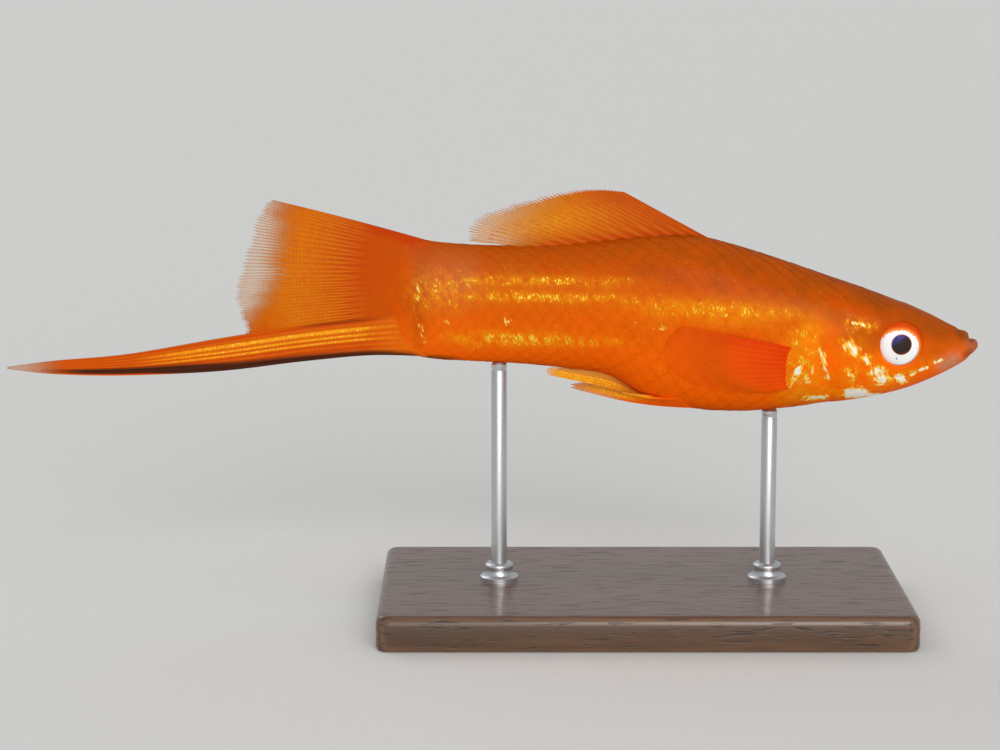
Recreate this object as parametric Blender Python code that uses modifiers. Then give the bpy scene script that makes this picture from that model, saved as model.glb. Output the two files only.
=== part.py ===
"""A male swordtail, life-size, as a still museum model on a plain two-rod stand.

The fish swims along +X with its back up (+Z); its right flank faces -Y. Sizes are millimetres and
are turned into metres where a mesh is made. The stand rests on z = 0.
"""

import math

import bmesh
import bpy
from mathutils import Matrix, Vector

for old in list(bpy.data.objects):
    bpy.data.objects.remove(old, do_unlink=True)

MM = 0.001
GAP = 0.3
SIDES = (("left", 1.0), ("right", -1.0))
QUARTER_TURN = Vector((0, 0, 1)).rotation_difference(Vector((0, 1, 0))).to_matrix()

# Stations of the body from the caudal fin's root to the mouth. Each is one ring, drawn through a point
# of the back and a point of the underside: x and z of both, half width, height of the widest level as a
# share of the depth, fullness above and below it (2 is an ellipse), and how far its sides lie behind.
STATIONS = {
    "caudal root": (-9.0, 43.85, -9.0, 30.3, 0.75, 0.50, 2.0, 2.0, 0.0),
    "peduncle end": (-6.6, 43.35, -6.6, 29.9, 1.60, 0.50, 2.0, 2.0, 0.0),
    "peduncle": (-2.0, 43.0, -2.0, 29.65, 2.20, 0.50, 2.0, 2.0, 0.0),
    "peduncle front": (3.0, 42.9, 3.0, 29.4, 2.70, 0.51, 2.0, 2.0, 0.0),
    "dorsal end": (8.0, 43.1, 8.0, 28.9, 3.30, 0.52, 2.0, 2.0, 0.0),
    "over anal fin": (13.0, 43.6, 13.0, 28.1, 3.85, 0.54, 2.0, 2.0, 0.0),
    "vent": (17.5, 44.0, 17.5, 25.5, 4.35, 0.56, 2.1, 2.0, 0.0),
    "dorsal front": (22.5, 44.1, 22.5, 24.2, 4.80, 0.57, 2.1, 2.1, 0.0),
    "belly": (28.0, 42.85, 28.0, 23.95, 5.15, 0.57, 2.1, 2.2, 0.0),
    "shoulder": (33.0, 41.25, 33.0, 24.3, 5.25, 0.57, 2.2, 2.2, 0.0),
    "gill opening": (37.5, 39.65, 37.5, 24.85, 5.15, 0.56, 2.3, 2.2, 0.0),
    "cheek": (42.0, 38.05, 42.0, 25.4, 4.90, 0.57, 2.5, 2.1, 0.0),
    "eye": (46.3, 36.5, 46.3, 26.3, 4.35, 0.58, 2.6, 2.0, 0.0),
    "snout": (49.6, 35.2, 49.6, 27.6, 3.50, 0.56, 2.4, 2.0, 0.1),
    "jaw root": (51.6, 34.2, 52.5, 29.0, 2.85, 0.54, 2.2, 2.0, 0.3),
    "behind lips": (52.9, 33.55, 54.2, 30.2, 2.35, 0.52, 2.1, 2.0, 0.45),
    "lip crest": (53.85, 32.95, 55.05, 31.6, 2.05, 0.50, 2.0, 2.0, 0.55),
    "lip inside": (53.65, 32.4, 54.6, 32.15, 1.65, 0.50, 2.0, 2.0, 0.55),
    "mouth pocket": (52.8, 31.8, 53.2, 31.5, 1.10, 0.50, 2.0, 2.0, 0.4),
}
RINGS_PER_STATION = 3
RING_POINTS = 32
NARROWEST = 0.2
JAW_SLOPE = Vector((-0.85, 0.0, -0.53))

NECK_CUT = ((40.4, 40.0), (39.0, 37.9), (37.3, 35.6), (36.3, 32.8), (36.3, 29.9), (37.4, 27.4), (39.2, 24.0))
TAIL_CUT = ((3.4, 45.0), (3.4, 28.0))
JAW_CUT = (
    (55.6, 32.95), (54.4, 32.25), (53.6, 31.85), (52.6, 31.2), (51.6, 30.5), (50.9, 29.6), (50.3, 26.5),
)

# The gill cover's edge in the side view, from its top forwards and round under the cheek.
COVER_OUTLINE = (
    (38.6, 36.8), (40.8, 36.2), (42.0, 34.0), (42.1, 31.2), (42.4, 28.6),
    (40.8, 26.8), (38.3, 27.5), (36.7, 30.0), (36.7, 32.7), (37.3, 35.2),
)
COVER_PUFF = 0.25
COVER_DEPTH = 0.9
COVER_FROM_MIDDLE = (1.0, 9.0)
CUT_REACH = 20.0

EYE_X, EYE_Z = 45.75, 32.3
EYE_Y = 3.55
EYE_RADIUS = 2.5
EYE_DEPTH = 1.45
EYE_FORWARD = math.radians(9)
EYE_MESH = (28, 18)

NOSTRIL_PLACES = ((50.0, 2.45, 34.45), (49.2, 2.75, 34.6))
NOSTRIL_RADIUS = 0.22
NOSTRIL_DEEP = 0.45
NOSTRIL_MESH = (10, 8)

# Fins. A notch is how far the membrane stops short of the ray tips, as a share of the ray, at the
# first ray and at the last; each margin runs through the ray tips in the same order.
MEMBRANE = 0.5
RAY = 0.78
TIP_START = 0.85
TIP_SHARE = 0.67

DORSAL_RAYS = 14
DORSAL_ROOT_X = (25.2, 4.3)
DORSAL_NOTCH = (0.02, 0.16)
DORSAL_MARGIN = (
    (14.6, 49.0), (11.4, 49.3), (7.9, 49.0), (4.0, 48.1), (0.6, 47.1), (-2.4, 45.7), (-2.9, 43.5),
)

CAUDAL_RAYS = 17
CAUDAL_ROOT_Z = (43.75, 35.65)
CAUDAL_NOTCH = (0.03, 0.03)
CAUDAL_BULGE = 0.1
CAUDAL_MARGIN = (
    (-25.2, 48.1), (-26.6, 46.3), (-27.7, 42.9), (-29.0, 38.9), (-29.2, 36.8), (-28.5, 34.8), (-27.9, 33.2),
)

# The sword from its root to its tip: x, then z of its upper and of its lower edge.
SWORD_RAYS = 8
SWORD_THICK = 0.93
SWORD_TAPER = 0.35
SWORD_EDGES = (
    (-9.3, 35.3, 30.25), (-14.0, 34.6, 30.4), (-22.0, 33.6, 29.65), (-31.2, 32.2, 28.55),
    (-41.7, 30.4, 28.0), (-50.0, 29.65, 28.15), (-55.4, 28.95, 28.75),
)

PECTORAL_RAYS = 12
PECTORAL_NOTCH = (0.02, 0.05)
PECTORAL_ROOT = ((33.4, 32.0), (32.8, 27.2))
PECTORAL_MARGIN = ((21.1, 34.5), (19.4, 33.1), (19.1, 31.0), (20.2, 28.9), (23.1, 27.4), (27.2, 26.6))
PECTORAL_SPLAY = 1.1

# The pelvic fins hang under the belly: x and distance from the middle plane at the root, and the
# same with z at the ray tips.
PELVIC_RAYS = 6
PELVIC_NOTCH = (0.03, 0.08)
PELVIC_ROOT = ((22.4, 1.3), (20.9, 2.2))
PELVIC_MARGIN = (
    (8.5, 1.0, 26.75), (9.6, 1.1, 26.9), (11.0, 1.3, 26.95), (12.6, 1.6, 26.8), (14.4, 1.95, 26.3),
)

# The anal fin is a gonopodium: its first rays lie together as a thicker rod, and the rest is a film
# that runs up to the belly.
ANAL_RAYS = 9
ANAL_ROOT_X = (18.15, 14.75)
ANAL_NOTCH = (0.0, 0.06)
ANAL_MARGIN = ((6.3, 28.0), (6.0, 28.3), (6.6, 28.6), (8.4, 28.5), (10.6, 28.1))
ANAL_THICK = 0.98
ANAL_ROD_SHARE = 0.4
ANAL_FIN_THICK = 0.75

BASE_SIZE = (60.0, 34.0, 4.0)
BASE_CENTRE_X = 17.0
BASE_EDGE = 0.8
ROD_X = (31.5, 0.6)
ROD_RADIUS = 0.9
ROD_SIDES = 20
FERRULE_RADIUS = 2.2
FERRULE_HEIGHT = 1.8


def new_collection(name, hidden=False):
    collection = bpy.data.collections.new(name)
    bpy.context.scene.collection.children.link(collection)
    collection.hide_render = hidden
    return collection


MODEL = new_collection("swordtail")
GUIDES = new_collection("cutters", hidden=True)


def material(name, colour, roughness, metallic=0.0):
    made = bpy.data.materials.new(name)
    made.use_nodes = True
    shader = made.node_tree.nodes["Principled BSDF"]
    shader.inputs["Base Color"].default_value = (*colour, 1.0)
    shader.inputs["Roughness"].default_value = roughness
    shader.inputs["Metallic"].default_value = metallic
    return made


SKIN = material("scaled skin", (0.80, 0.13, 0.015), 0.4)
FIN = material("fin membrane", (0.85, 0.24, 0.03), 0.45)
SWORD = material("sword rays", (0.90, 0.30, 0.03), 0.4)
EYE = material("eye", (0.85, 0.87, 0.90), 0.15)
WOOD = material("stained wood", (0.20, 0.11, 0.06), 0.5)
STEEL = material("steel rod", (0.62, 0.63, 0.65), 0.3, 1.0)


def catmull(points, share):
    """A point on the smooth curve through points, share running from 0 at the first to 1 at the last."""
    spans = len(points) - 1
    place = min(max(share, 0.0), 1.0) * spans
    first = min(int(place), spans - 1)
    t = place - first
    after = points[min(first + 2, spans)]
    p1, p2 = points[first], points[first + 1]
    before = points[max(first - 1, 0)]
    return tuple(
        b + 0.5 * t * (c - a + t * (2 * a - 5 * b + 4 * c - d + t * (3 * (b - c) + d - a)))
        for a, b, c, d in zip(before, p1, p2, after)
    )


STATION_SIZES = list(STATIONS.values())


def station(share):
    return catmull(STATION_SIZES, share)


def ring(sizes, widen=0.0):
    """The points of one ring, from the left side over the back and round under the belly."""
    back_x, back_z, belly_x, belly_z, half_width, level, full_up, full_down, sweep = sizes
    back = Vector((back_x, 0.0, back_z))
    belly = Vector((belly_x, 0.0, belly_z))
    widest = belly.lerp(back, level)
    half_width = max(half_width + widen, NARROWEST)
    points = []
    for step in range(RING_POINTS):
        angle = 2 * math.pi * step / RING_POINTS
        side, rise = math.cos(angle), math.sin(angle)
        power = 2 / (full_up if rise >= 0 else full_down)
        middle = widest.lerp(back if rise >= 0 else belly, abs(rise) ** power)
        across = math.copysign(half_width * abs(side) ** power, side)
        points.append(middle + Vector((0.0, across, 0.0)) + JAW_SLOPE * sweep * side * side)
    return points


def share_at(x, halvings=40):
    """Where along the stations the underside has this x, found by halving."""
    low, high = 0.0, 1.0
    for _ in range(halvings):
        middle = (low + high) / 2
        if station(middle)[2] < x:
            low = middle
        else:
            high = middle
    return low


def back_z(x):
    return station(share_at(x))[1]


def belly_z(x):
    return station(share_at(x))[3]


def round_off(share, full, outermost=0.98):
    """How far a ring of this fullness has drawn in at a share of the way to its edge; 1 is not at all."""
    return (1 - min(share, outermost) ** full) ** (1 / full)


def flank_y(x, z):
    """Half the body's width at this x and this height, in its upright rings."""
    _, top, _, bottom, half_width, level, full_up, full_down, _ = station(share_at(x))
    widest = bottom + (top - bottom) * level
    if z >= widest:
        return half_width * round_off((z - widest) / (top - widest), full_up)
    return half_width * round_off((widest - z) / (widest - bottom), full_down)


def belly_surface(x, y):
    """Height of the underside at this x and this distance from the middle plane."""
    _, top, _, bottom, half_width, level, _, full_down, _ = station(share_at(x))
    widest = bottom + (top - bottom) * level
    return widest - (widest - bottom) * round_off(abs(y) / half_width, full_down)


def add_object(name, bm, collection, finish=None):
    """Puts a bmesh made in millimetres into a new object, in metres."""
    bmesh.ops.scale(bm, vec=(MM, MM, MM), verts=bm.verts)
    bmesh.ops.recalc_face_normals(bm, faces=bm.faces)
    mesh = bpy.data.meshes.new(name)
    bm.to_mesh(mesh)
    bm.free()
    made = bpy.data.objects.new(name, mesh)
    collection.objects.link(made)
    if collection is GUIDES:
        made.hide_render = True
        made.display_type = "WIRE"
    if finish:
        mesh.materials.append(finish)
    return made


def body_loft(name, collection, widen=0.0, finish=None):
    """The whole body as one closed loft through the stations, wider or narrower by widen each side."""
    bm = bmesh.new()
    steps = (len(STATION_SIZES) - 1) * RINGS_PER_STATION
    rings = [
        [bm.verts.new(point) for point in ring(station(step / steps), widen)]
        for step in range(steps + 1)
    ]
    for near, far in zip(rings, rings[1:]):
        for k in range(RING_POINTS):
            after = (k + 1) % RING_POINTS
            bm.faces.new((near[k], near[after], far[after], far[k]))
    bm.faces.new(rings[0])
    bm.faces.new(rings[-1])
    return add_object(name, bm, collection, finish)


def apply_boolean(target, cutter, operation):
    modifier = target.modifiers.new(operation.lower(), "BOOLEAN")
    modifier.operation = operation
    modifier.object = cutter
    modifier.solver = "EXACT"
    bake(target)


def bake(target):
    """Replaces the object's mesh with what its modifiers make of it."""
    graph = bpy.context.evaluated_depsgraph_get()
    baked = bpy.data.meshes.new_from_object(target.evaluated_get(graph))
    target.modifiers.clear()
    target.data = baked


def ribbon(name, path):
    """A thin curved wall across the whole body, standing on a path drawn in the side view."""
    bm = bmesh.new()
    near, far = ([bm.verts.new((x, y, z)) for x, z in path] for y in (-CUT_REACH, CUT_REACH))
    for k in range(len(path) - 1):
        bm.faces.new((near[k], near[k + 1], far[k + 1], far[k]))
    made = add_object(name, bm, GUIDES)
    thick = made.modifiers.new("cut width", "SOLIDIFY")
    thick.thickness = GAP * MM
    thick.offset = 0.0
    return made


def side_prism(name, outline, side, grow=0.0, points_each=3):
    """A smooth closed outline of the side view, grown outwards and carried out from near the middle."""
    inner, outer = COVER_FROM_MIDDLE
    steps = len(outline) * points_each
    looped = (*outline, outline[0])
    centre_x = sum(x for x, _ in outline) / len(outline)
    centre_z = sum(z for _, z in outline) / len(outline)
    bm = bmesh.new()
    corners = []
    for step in range(steps):
        x, z = catmull(looped, step / steps)
        away = Vector((x - centre_x, 0.0, z - centre_z))
        place = Vector((x, 0.0, z)) + away.normalized() * grow
        corners.append(bm.verts.new((place.x, side * inner, place.z)))
    face = bm.faces.new(corners)
    pushed = bmesh.ops.extrude_face_region(bm, geom=[face])["geom"]
    moved = [item for item in pushed if isinstance(item, bmesh.types.BMVert)]
    bmesh.ops.translate(bm, vec=(0.0, side * (outer - inner), 0.0), verts=moved)
    return add_object(name, bm, GUIDES)


def ellipsoid(name, collection, centre, radii, fineness, finish=None, turn=0.0):
    """An ellipsoid with its poles along Y, turned about the upright through its centre."""
    bm = bmesh.new()
    bmesh.ops.create_uvsphere(bm, u_segments=fineness[0], v_segments=fineness[1], radius=1.0)
    bmesh.ops.rotate(bm, cent=(0, 0, 0), matrix=QUARTER_TURN, verts=bm.verts)
    bmesh.ops.scale(bm, vec=radii, verts=bm.verts)
    bmesh.ops.rotate(bm, cent=(0, 0, 0), matrix=Matrix.Rotation(turn, 3, "Z"), verts=bm.verts)
    bmesh.ops.translate(bm, vec=centre, verts=bm.verts)
    return add_object(name, bm, collection, finish)


def split_loose(target):
    """Separates an object into its closed bodies and returns them, largest x first."""
    bpy.context.view_layer.objects.active = target
    for other in bpy.context.selected_objects:
        other.select_set(False)
    target.select_set(True)
    bpy.ops.object.mode_set(mode="EDIT")
    bpy.ops.mesh.select_all(action="SELECT")
    bpy.ops.mesh.separate(type="LOOSE")
    bpy.ops.object.mode_set(mode="OBJECT")
    found = list(bpy.context.selected_objects)
    return sorted(found, key=mean_x, reverse=True)


def mean_x(part):
    return sum(vert.co.x for vert in part.data.vertices) / len(part.data.vertices)


def face_count(part):
    return len(part.data.polygons)


def keep_largest(target):
    """Drops every closed surface of the object but the one with the most faces."""
    name = target.name
    parts = sorted(split_loose(target), key=face_count, reverse=True)
    for scrap in parts[1:]:
        bpy.data.objects.remove(scrap, do_unlink=True)
    parts[0].name = name
    return parts[0]


def rename(part, name):
    part.name = name
    part.data.name = name


def build_body():
    """Head, lower jaw, gill covers, torso and tail stem, parted from one loft by thin cuts."""
    whole = body_loft("body", MODEL, finish=SKIN)
    core = body_loft("core", GUIDES, widen=-COVER_DEPTH)
    deep_core = body_loft("deep core", GUIDES, widen=-COVER_DEPTH - GAP)
    for label, side in SIDES:
        cover = body_loft(f"gill_cover_{label}", MODEL, widen=COVER_PUFF, finish=SKIN)
        apply_boolean(cover, side_prism("cover outline", COVER_OUTLINE, side), "INTERSECT")
        apply_boolean(cover, core, "DIFFERENCE")
        keep_largest(cover)
        bed = side_prism("cover bed", COVER_OUTLINE, side, grow=GAP)
        apply_boolean(bed, deep_core, "DIFFERENCE")
        apply_boolean(whole, bed, "DIFFERENCE")
    for label, side in SIDES:
        place = (EYE_X, side * EYE_Y, EYE_Z)
        radii = (EYE_RADIUS, EYE_DEPTH, EYE_RADIUS)
        turn = -side * EYE_FORWARD
        ellipsoid(f"eye_{label}", MODEL, place, radii, EYE_MESH, EYE, turn)
        room = [radius + GAP for radius in radii]
        socket = ellipsoid("socket", GUIDES, place, room, EYE_MESH, turn=turn)
        apply_boolean(whole, socket, "DIFFERENCE")
        for x, y, z in NOSTRIL_PLACES:
            hole = (NOSTRIL_RADIUS, NOSTRIL_DEEP, NOSTRIL_DEEP)
            pit = ellipsoid("nostril", GUIDES, (x, side * y, z), hole, NOSTRIL_MESH)
            apply_boolean(whole, pit, "DIFFERENCE")
    for name, path in (("neck cut", NECK_CUT), ("tail cut", TAIL_CUT), ("jaw cut", JAW_CUT)):
        apply_boolean(whole, ribbon(name, path), "DIFFERENCE")
    names = ("lower_jaw", "head", "torso", "tail_stem")
    parts = sorted(split_loose(whole), key=face_count, reverse=True)
    for scrap in parts[len(names):]:
        bpy.data.objects.remove(scrap, do_unlink=True)
    for part, name in zip(sorted(parts[: len(names)], key=mean_x, reverse=True), names):
        rename(part, name)


def vane(name, rays, rows, middle, weight, thickest, notch, finish):
    """A fin: a grid with a column on each ray and one between rays, moved onto its middle surface
    and thickened both ways, so that the rays stand up as ridges of its own surface.

    middle(u, v) places a point u of the way across the rays and v of the way out along them, and
    weight(u, v) is the share of the full ray thickness there. The membrane between two rays stops
    short of their tips by the notch.
    """
    columns = 2 * (rays - 1)
    bm = bmesh.new()
    bmesh.ops.create_grid(bm, x_segments=columns, y_segments=rows, size=0.5)
    thickness = []
    for vert in bm.verts:
        u, v = vert.co.x + 0.5, vert.co.y + 0.5
        on_ray = round(u * columns) % 2 == 0
        short = 0.0 if on_ray else notch[0] + (notch[1] - notch[0]) * u
        vert.co = middle(u, v * (1 - short))
        thickness.append((1.0 if on_ray else MEMBRANE / RAY) * weight(u, v))
    bmesh.ops.triangulate(bm, faces=bm.faces)
    made = add_object(name, bm, MODEL, finish)
    group = made.vertex_groups.new(name="thickness")
    for index, share in enumerate(thickness):
        group.add([index], share, "REPLACE")
    thick = made.modifiers.new("thickness", "SOLIDIFY")
    thick.thickness = thickest * MM
    thick.offset = 0.0
    thick.vertex_group = group.name
    return made


def thin_tip(_, v):
    """Full thickness over most of a ray, thinning evenly to its tip."""
    return 1.0 - (1.0 - TIP_SHARE) * max(0.0, v - TIP_START) / (1.0 - TIP_START)


def between(ends, share):
    return ends[0] + (ends[1] - ends[0]) * share


def dorsal_middle(u, v):
    x = between(DORSAL_ROOT_X, u)
    root = Vector((x, 0.0, back_z(x) + GAP))
    tip_x, tip_z = catmull(DORSAL_MARGIN, u)
    return root.lerp(Vector((tip_x, 0.0, tip_z)), v)


def caudal_middle(u, v):
    root = Vector((STATION_SIZES[0][0] - GAP, 0.0, between(CAUDAL_ROOT_Z, u)))
    tip_x, tip_z = catmull(CAUDAL_MARGIN, u)
    bulge = CAUDAL_BULGE * math.sin(math.pi * v) * (1 - u) ** 2
    return root.lerp(Vector((tip_x, 0.0, tip_z)), v) + Vector((0.0, 0.0, bulge))


def sword_middle(u, v):
    x, upper_z, lower_z = catmull(SWORD_EDGES, v)
    return Vector((x, 0.0, between((upper_z, lower_z), u)))


def sword_weight(_, v):
    return 1.0 - SWORD_TAPER * v


def anal_middle(u, v):
    x = between(ANAL_ROOT_X, u)
    root = Vector((x, 0.0, belly_z(x) - GAP))
    tip_x, tip_z = catmull(ANAL_MARGIN, u)
    place = root.lerp(Vector((tip_x, 0.0, tip_z)), v)
    place.z += (belly_z(place.x) - GAP - place.z) * u
    return place


def anal_weight(u, v):
    return (1.0 if u < ANAL_ROD_SHARE else ANAL_FIN_THICK) * thin_tip(u, v)


def build_median_fins():
    """Dorsal, caudal and anal fins and the sword, all in the middle plane of the fish."""
    vane("dorsal_fin", DORSAL_RAYS, 9, dorsal_middle, thin_tip, RAY, DORSAL_NOTCH, FIN)
    vane("caudal_fin", CAUDAL_RAYS, 9, caudal_middle, thin_tip, RAY, CAUDAL_NOTCH, FIN)
    vane("sword", SWORD_RAYS, 22, sword_middle, sword_weight, SWORD_THICK, (0.0, 0.0), SWORD)
    vane("gonopodium", ANAL_RAYS, 10, anal_middle, anal_weight, ANAL_THICK, ANAL_NOTCH, FIN)


def build_paired_fins():
    """Pectoral fins folded back along the flanks, and pelvic fins under the belly."""
    for label, side in SIDES:

        def pectoral_middle(u, v, side=side):
            upper, lower = PECTORAL_ROOT
            tip_x, tip_z = catmull(PECTORAL_MARGIN, u)
            x = between((between((upper[0], lower[0]), u), tip_x), v)
            z = between((between((upper[1], lower[1]), u), tip_z), v)
            stand_off = GAP + RAY / 2 + PECTORAL_SPLAY * v * v
            return Vector((x, side * (flank_y(x, z) + stand_off), z))

        def pelvic_middle(u, v, side=side):
            inner, outer = PELVIC_ROOT
            x, y = between((inner[0], outer[0]), u), between((inner[1], outer[1]), u)
            root = Vector((x, side * y, belly_surface(x, y) - GAP - RAY / 2))
            tip_x, tip_y, tip_z = catmull(PELVIC_MARGIN, u)
            return root.lerp(Vector((tip_x, side * tip_y, tip_z)), v)

        pectoral, pelvic = f"pectoral_fin_{label}", f"pelvic_fin_{label}"
        vane(pectoral, PECTORAL_RAYS, 8, pectoral_middle, thin_tip, RAY, PECTORAL_NOTCH, FIN)
        vane(pelvic, PELVIC_RAYS, 7, pelvic_middle, thin_tip, RAY, PELVIC_NOTCH, FIN)


def upright(name, radius, low, high, x):
    """A steel cylinder standing on the middle plane."""
    bm = bmesh.new()
    sides, depth = ROD_SIDES, high - low
    bmesh.ops.create_cone(bm, cap_ends=True, segments=sides, radius1=radius, radius2=radius, depth=depth)
    bmesh.ops.translate(bm, vec=(x, 0.0, (low + high) / 2), verts=bm.verts)
    return add_object(name, bm, MODEL, STEEL)


def build_stand():
    """A flat wooden base with two steel rods; the rod ends are shaped to the underside they carry."""
    length, depth, height = BASE_SIZE
    bm = bmesh.new()
    bmesh.ops.create_cube(bm, size=1.0)
    bmesh.ops.scale(bm, vec=(length, depth, height), verts=bm.verts)
    bmesh.ops.translate(bm, vec=(BASE_CENTRE_X, 0.0, height / 2), verts=bm.verts)
    base = add_object("stand_base", bm, MODEL, WOOD)
    edge = base.modifiers.new("worn edge", "BEVEL")
    edge.width = BASE_EDGE * MM
    edge.segments = 2
    ferrule_foot = height + GAP
    ferrule_top = ferrule_foot + FERRULE_HEIGHT
    for place, x in zip(("front", "rear"), ROD_X):
        upright(f"stand_ferrule_{place}", FERRULE_RADIUS, ferrule_foot, ferrule_top, x)
        rod = upright(f"stand_rod_{place}", ROD_RADIUS, ferrule_top + GAP, belly_z(x) - GAP, x)
        top = max(vert.co.z for vert in rod.data.vertices)
        for vert in rod.data.vertices:
            if vert.co.z > top - GAP * MM:
                vert.co.z = (belly_surface(vert.co.x / MM, vert.co.y / MM) - GAP) * MM


build_body()
build_median_fins()
build_paired_fins()
build_stand()
for guide in list(GUIDES.objects):
    bpy.data.objects.remove(guide, do_unlink=True)
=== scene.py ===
"""The looks of a life-size male swordtail model on its two-rod stand.

+X runs to the head and +Z to the back; the right flank faces -Y. Numbers are millimetres, and become
metres where a mesh is made.
"""

import math

import bpy
import numpy as np
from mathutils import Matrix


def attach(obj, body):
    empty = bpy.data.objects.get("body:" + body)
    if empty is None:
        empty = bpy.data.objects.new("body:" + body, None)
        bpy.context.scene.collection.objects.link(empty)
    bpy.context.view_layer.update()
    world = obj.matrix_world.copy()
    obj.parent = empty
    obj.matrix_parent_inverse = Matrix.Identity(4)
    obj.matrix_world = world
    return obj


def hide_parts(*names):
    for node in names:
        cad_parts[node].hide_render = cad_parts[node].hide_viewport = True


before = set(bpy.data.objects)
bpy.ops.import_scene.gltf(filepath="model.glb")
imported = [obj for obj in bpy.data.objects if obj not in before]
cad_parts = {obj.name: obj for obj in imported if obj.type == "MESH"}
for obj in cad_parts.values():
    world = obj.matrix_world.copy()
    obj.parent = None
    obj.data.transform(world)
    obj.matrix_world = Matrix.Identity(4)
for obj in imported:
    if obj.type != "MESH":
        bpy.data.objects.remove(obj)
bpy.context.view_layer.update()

MM = 0.001


# The view is the photograph's: the right flank, seen from ten degrees above the horizon through a
# long lens, with 114 mm of the fish's middle plane across the picture.
VIEW_CENTRE = np.array((0.7, 0.0, 28.0))
VIEW_RISE = math.radians(10)
VIEW_WIDTH = 114.0
SENSOR, LENS = 36.0, 100.0

optics = bpy.data.cameras.new("camera")
optics.lens, optics.sensor_width = LENS, SENSOR
optics.clip_start, optics.clip_end = 0.01, 20.0
camera = bpy.data.objects.new("camera", optics)
bpy.context.scene.collection.objects.link(camera)
back_off = VIEW_WIDTH * LENS / SENSOR * np.array((0.0, -math.cos(VIEW_RISE), math.sin(VIEW_RISE)))
camera.location = (VIEW_CENTRE + back_off) * MM
camera.rotation_euler = (math.pi / 2 - VIEW_RISE, 0.0, 0.0)
bpy.context.scene.camera = camera
bpy.context.scene.view_settings.view_transform = "Standard"


# The room is a plain pale floor under a pale sky. Three broad soft lamps, as wide as window walls,
# light it evenly: one over the camera's right shoulder, one half as strong and as low as the fish,
# which lights its belly, and a weak one behind the tail.
FLOOR_REACH, FLOOR_POINTS = 4000.0, 9
FLOOR_COLOUR = (0.80, 0.79, 0.76)
AIR_COLOUR, AIR_STRENGTH = (0.94, 0.97, 1.0), 0.55
LAMPS = {
    # the way to the lamp, its width in degrees, its power and its colour
    "lamp_front": ((0.25, -1.0, 0.45), 30.0, 1.26, (1.0, 0.98, 0.94)),
    "lamp_low": ((-0.10, -1.0, 0.03), 40.0, 0.64, (1.0, 0.98, 0.95)),
    "lamp_behind": ((-0.8, 0.9, 0.9), 30.0, 0.32, (0.97, 0.98, 1.0)),
}

for name, (away, width, power, colour) in LAMPS.items():
    light = bpy.data.lights.new(name, "SUN")
    light.angle, light.energy, light.color = math.radians(width), power, colour
    lamp = bpy.data.objects.new(name, light)
    bpy.context.scene.collection.objects.link(lamp)
    tilt = math.atan2(math.hypot(away[0], away[1]), away[2])
    lamp.rotation_euler = (tilt, 0.0, math.atan2(away[0], -away[1]))

world = bpy.data.worlds.new("air")
bpy.context.scene.world = world
world.use_nodes = True
air = world.node_tree.nodes["Background"].inputs
air["Color"].default_value = (*AIR_COLOUR, 1.0)
air["Strength"].default_value = AIR_STRENGTH


def stacked(*parts):
    """The parts, spread to one shape, as the numbers that each point or face has."""
    return np.stack(np.broadcast_arrays(*parts), axis=-1)


def quads(rows, columns, ring=False):
    """Corner numbers of the squares of a grid; a ring also joins its last column to its first."""
    index = np.arange(rows * columns).reshape(rows, columns)
    if ring:
        index = np.concatenate([index, index[:, :1]], axis=1)
    near, far = index[:-1], index[1:]
    return stacked(near[:, :-1], near[:, 1:], far[:, 1:], far[:, :-1]).reshape(-1, 4)


def make_piece(name, points, faces, finish, fields=None, sharp=None):
    """A mesh object from points in millimetres and arrays of corner numbers, smooth but for edges
    sharper than the angle given. Fields are values per point that the material reads by name."""
    mesh = bpy.data.meshes.new(name)
    points = points.reshape(-1, 3) * MM
    corners = np.concatenate([group.ravel() for group in faces]).astype(np.int32)
    sizes = np.concatenate([np.full(len(group), group.shape[1]) for group in faces])
    starts = np.concatenate([[0], np.cumsum(sizes)[:-1]]).astype(np.int32)
    mesh.vertices.add(len(points))
    mesh.vertices.foreach_set("co", points.astype(np.float32).ravel())
    mesh.loops.add(len(corners))
    mesh.loops.foreach_set("vertex_index", corners)
    mesh.polygons.add(len(sizes))
    mesh.polygons.foreach_set("loop_start", starts)
    mesh.update(calc_edges=True)
    mesh.shade_smooth()
    if sharp:
        mesh.set_sharp_from_angle(angle=math.radians(sharp))
    for field, values in (fields or {}).items():
        made = mesh.attributes.new(field, "FLOAT_VECTOR", "POINT")
        made.data.foreach_set("vector", np.asarray(values, np.float32).ravel())
    mesh.materials.append(finish)
    piece = bpy.data.objects.new(name, mesh)
    bpy.context.scene.collection.objects.link(piece)
    return piece


def maths(operation, reflected=False):
    """An operator of Wire that adds one Math node."""
    def operator(self, other):
        pair = (other, self) if reflected else (self, other)
        return self.node("Math", dict(enumerate(pair)), operation=operation)
    return operator


class Wire:
    """One output of a shader tree. Arithmetic on it adds Math nodes; node() adds any other node."""

    def __init__(self, tree, socket):
        self.tree, self.socket = tree, socket

    def node(self, kind, inputs=None, output=0, stops=None, **settings):
        """A new node: its settings, then ramp stops, then a value or a wire for each input named."""
        made = self.tree.nodes.new("ShaderNode" + kind)
        for setting, value in settings.items():
            setattr(made, setting, value)
        for at, (place, colour) in enumerate(stops or ()):
            elements = made.color_ramp.elements
            element = elements[at] if at < len(elements) else elements.new(place)
            element.position, element.color = place, (*colour, 1.0)
        for key, value in (inputs or {}).items():
            if isinstance(value, Wire):
                self.tree.links.new(value.socket, made.inputs[key])
            else:
                made.inputs[key].default_value = value
        return Wire(self.tree, made.outputs[output])

    def other(self, output):
        return Wire(self.tree, self.socket.node.outputs[output])

    __add__ = __radd__ = maths("ADD")
    __mul__ = __rmul__ = maths("MULTIPLY")
    __sub__, __rsub__ = maths("SUBTRACT"), maths("SUBTRACT", reflected=True)


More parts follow.
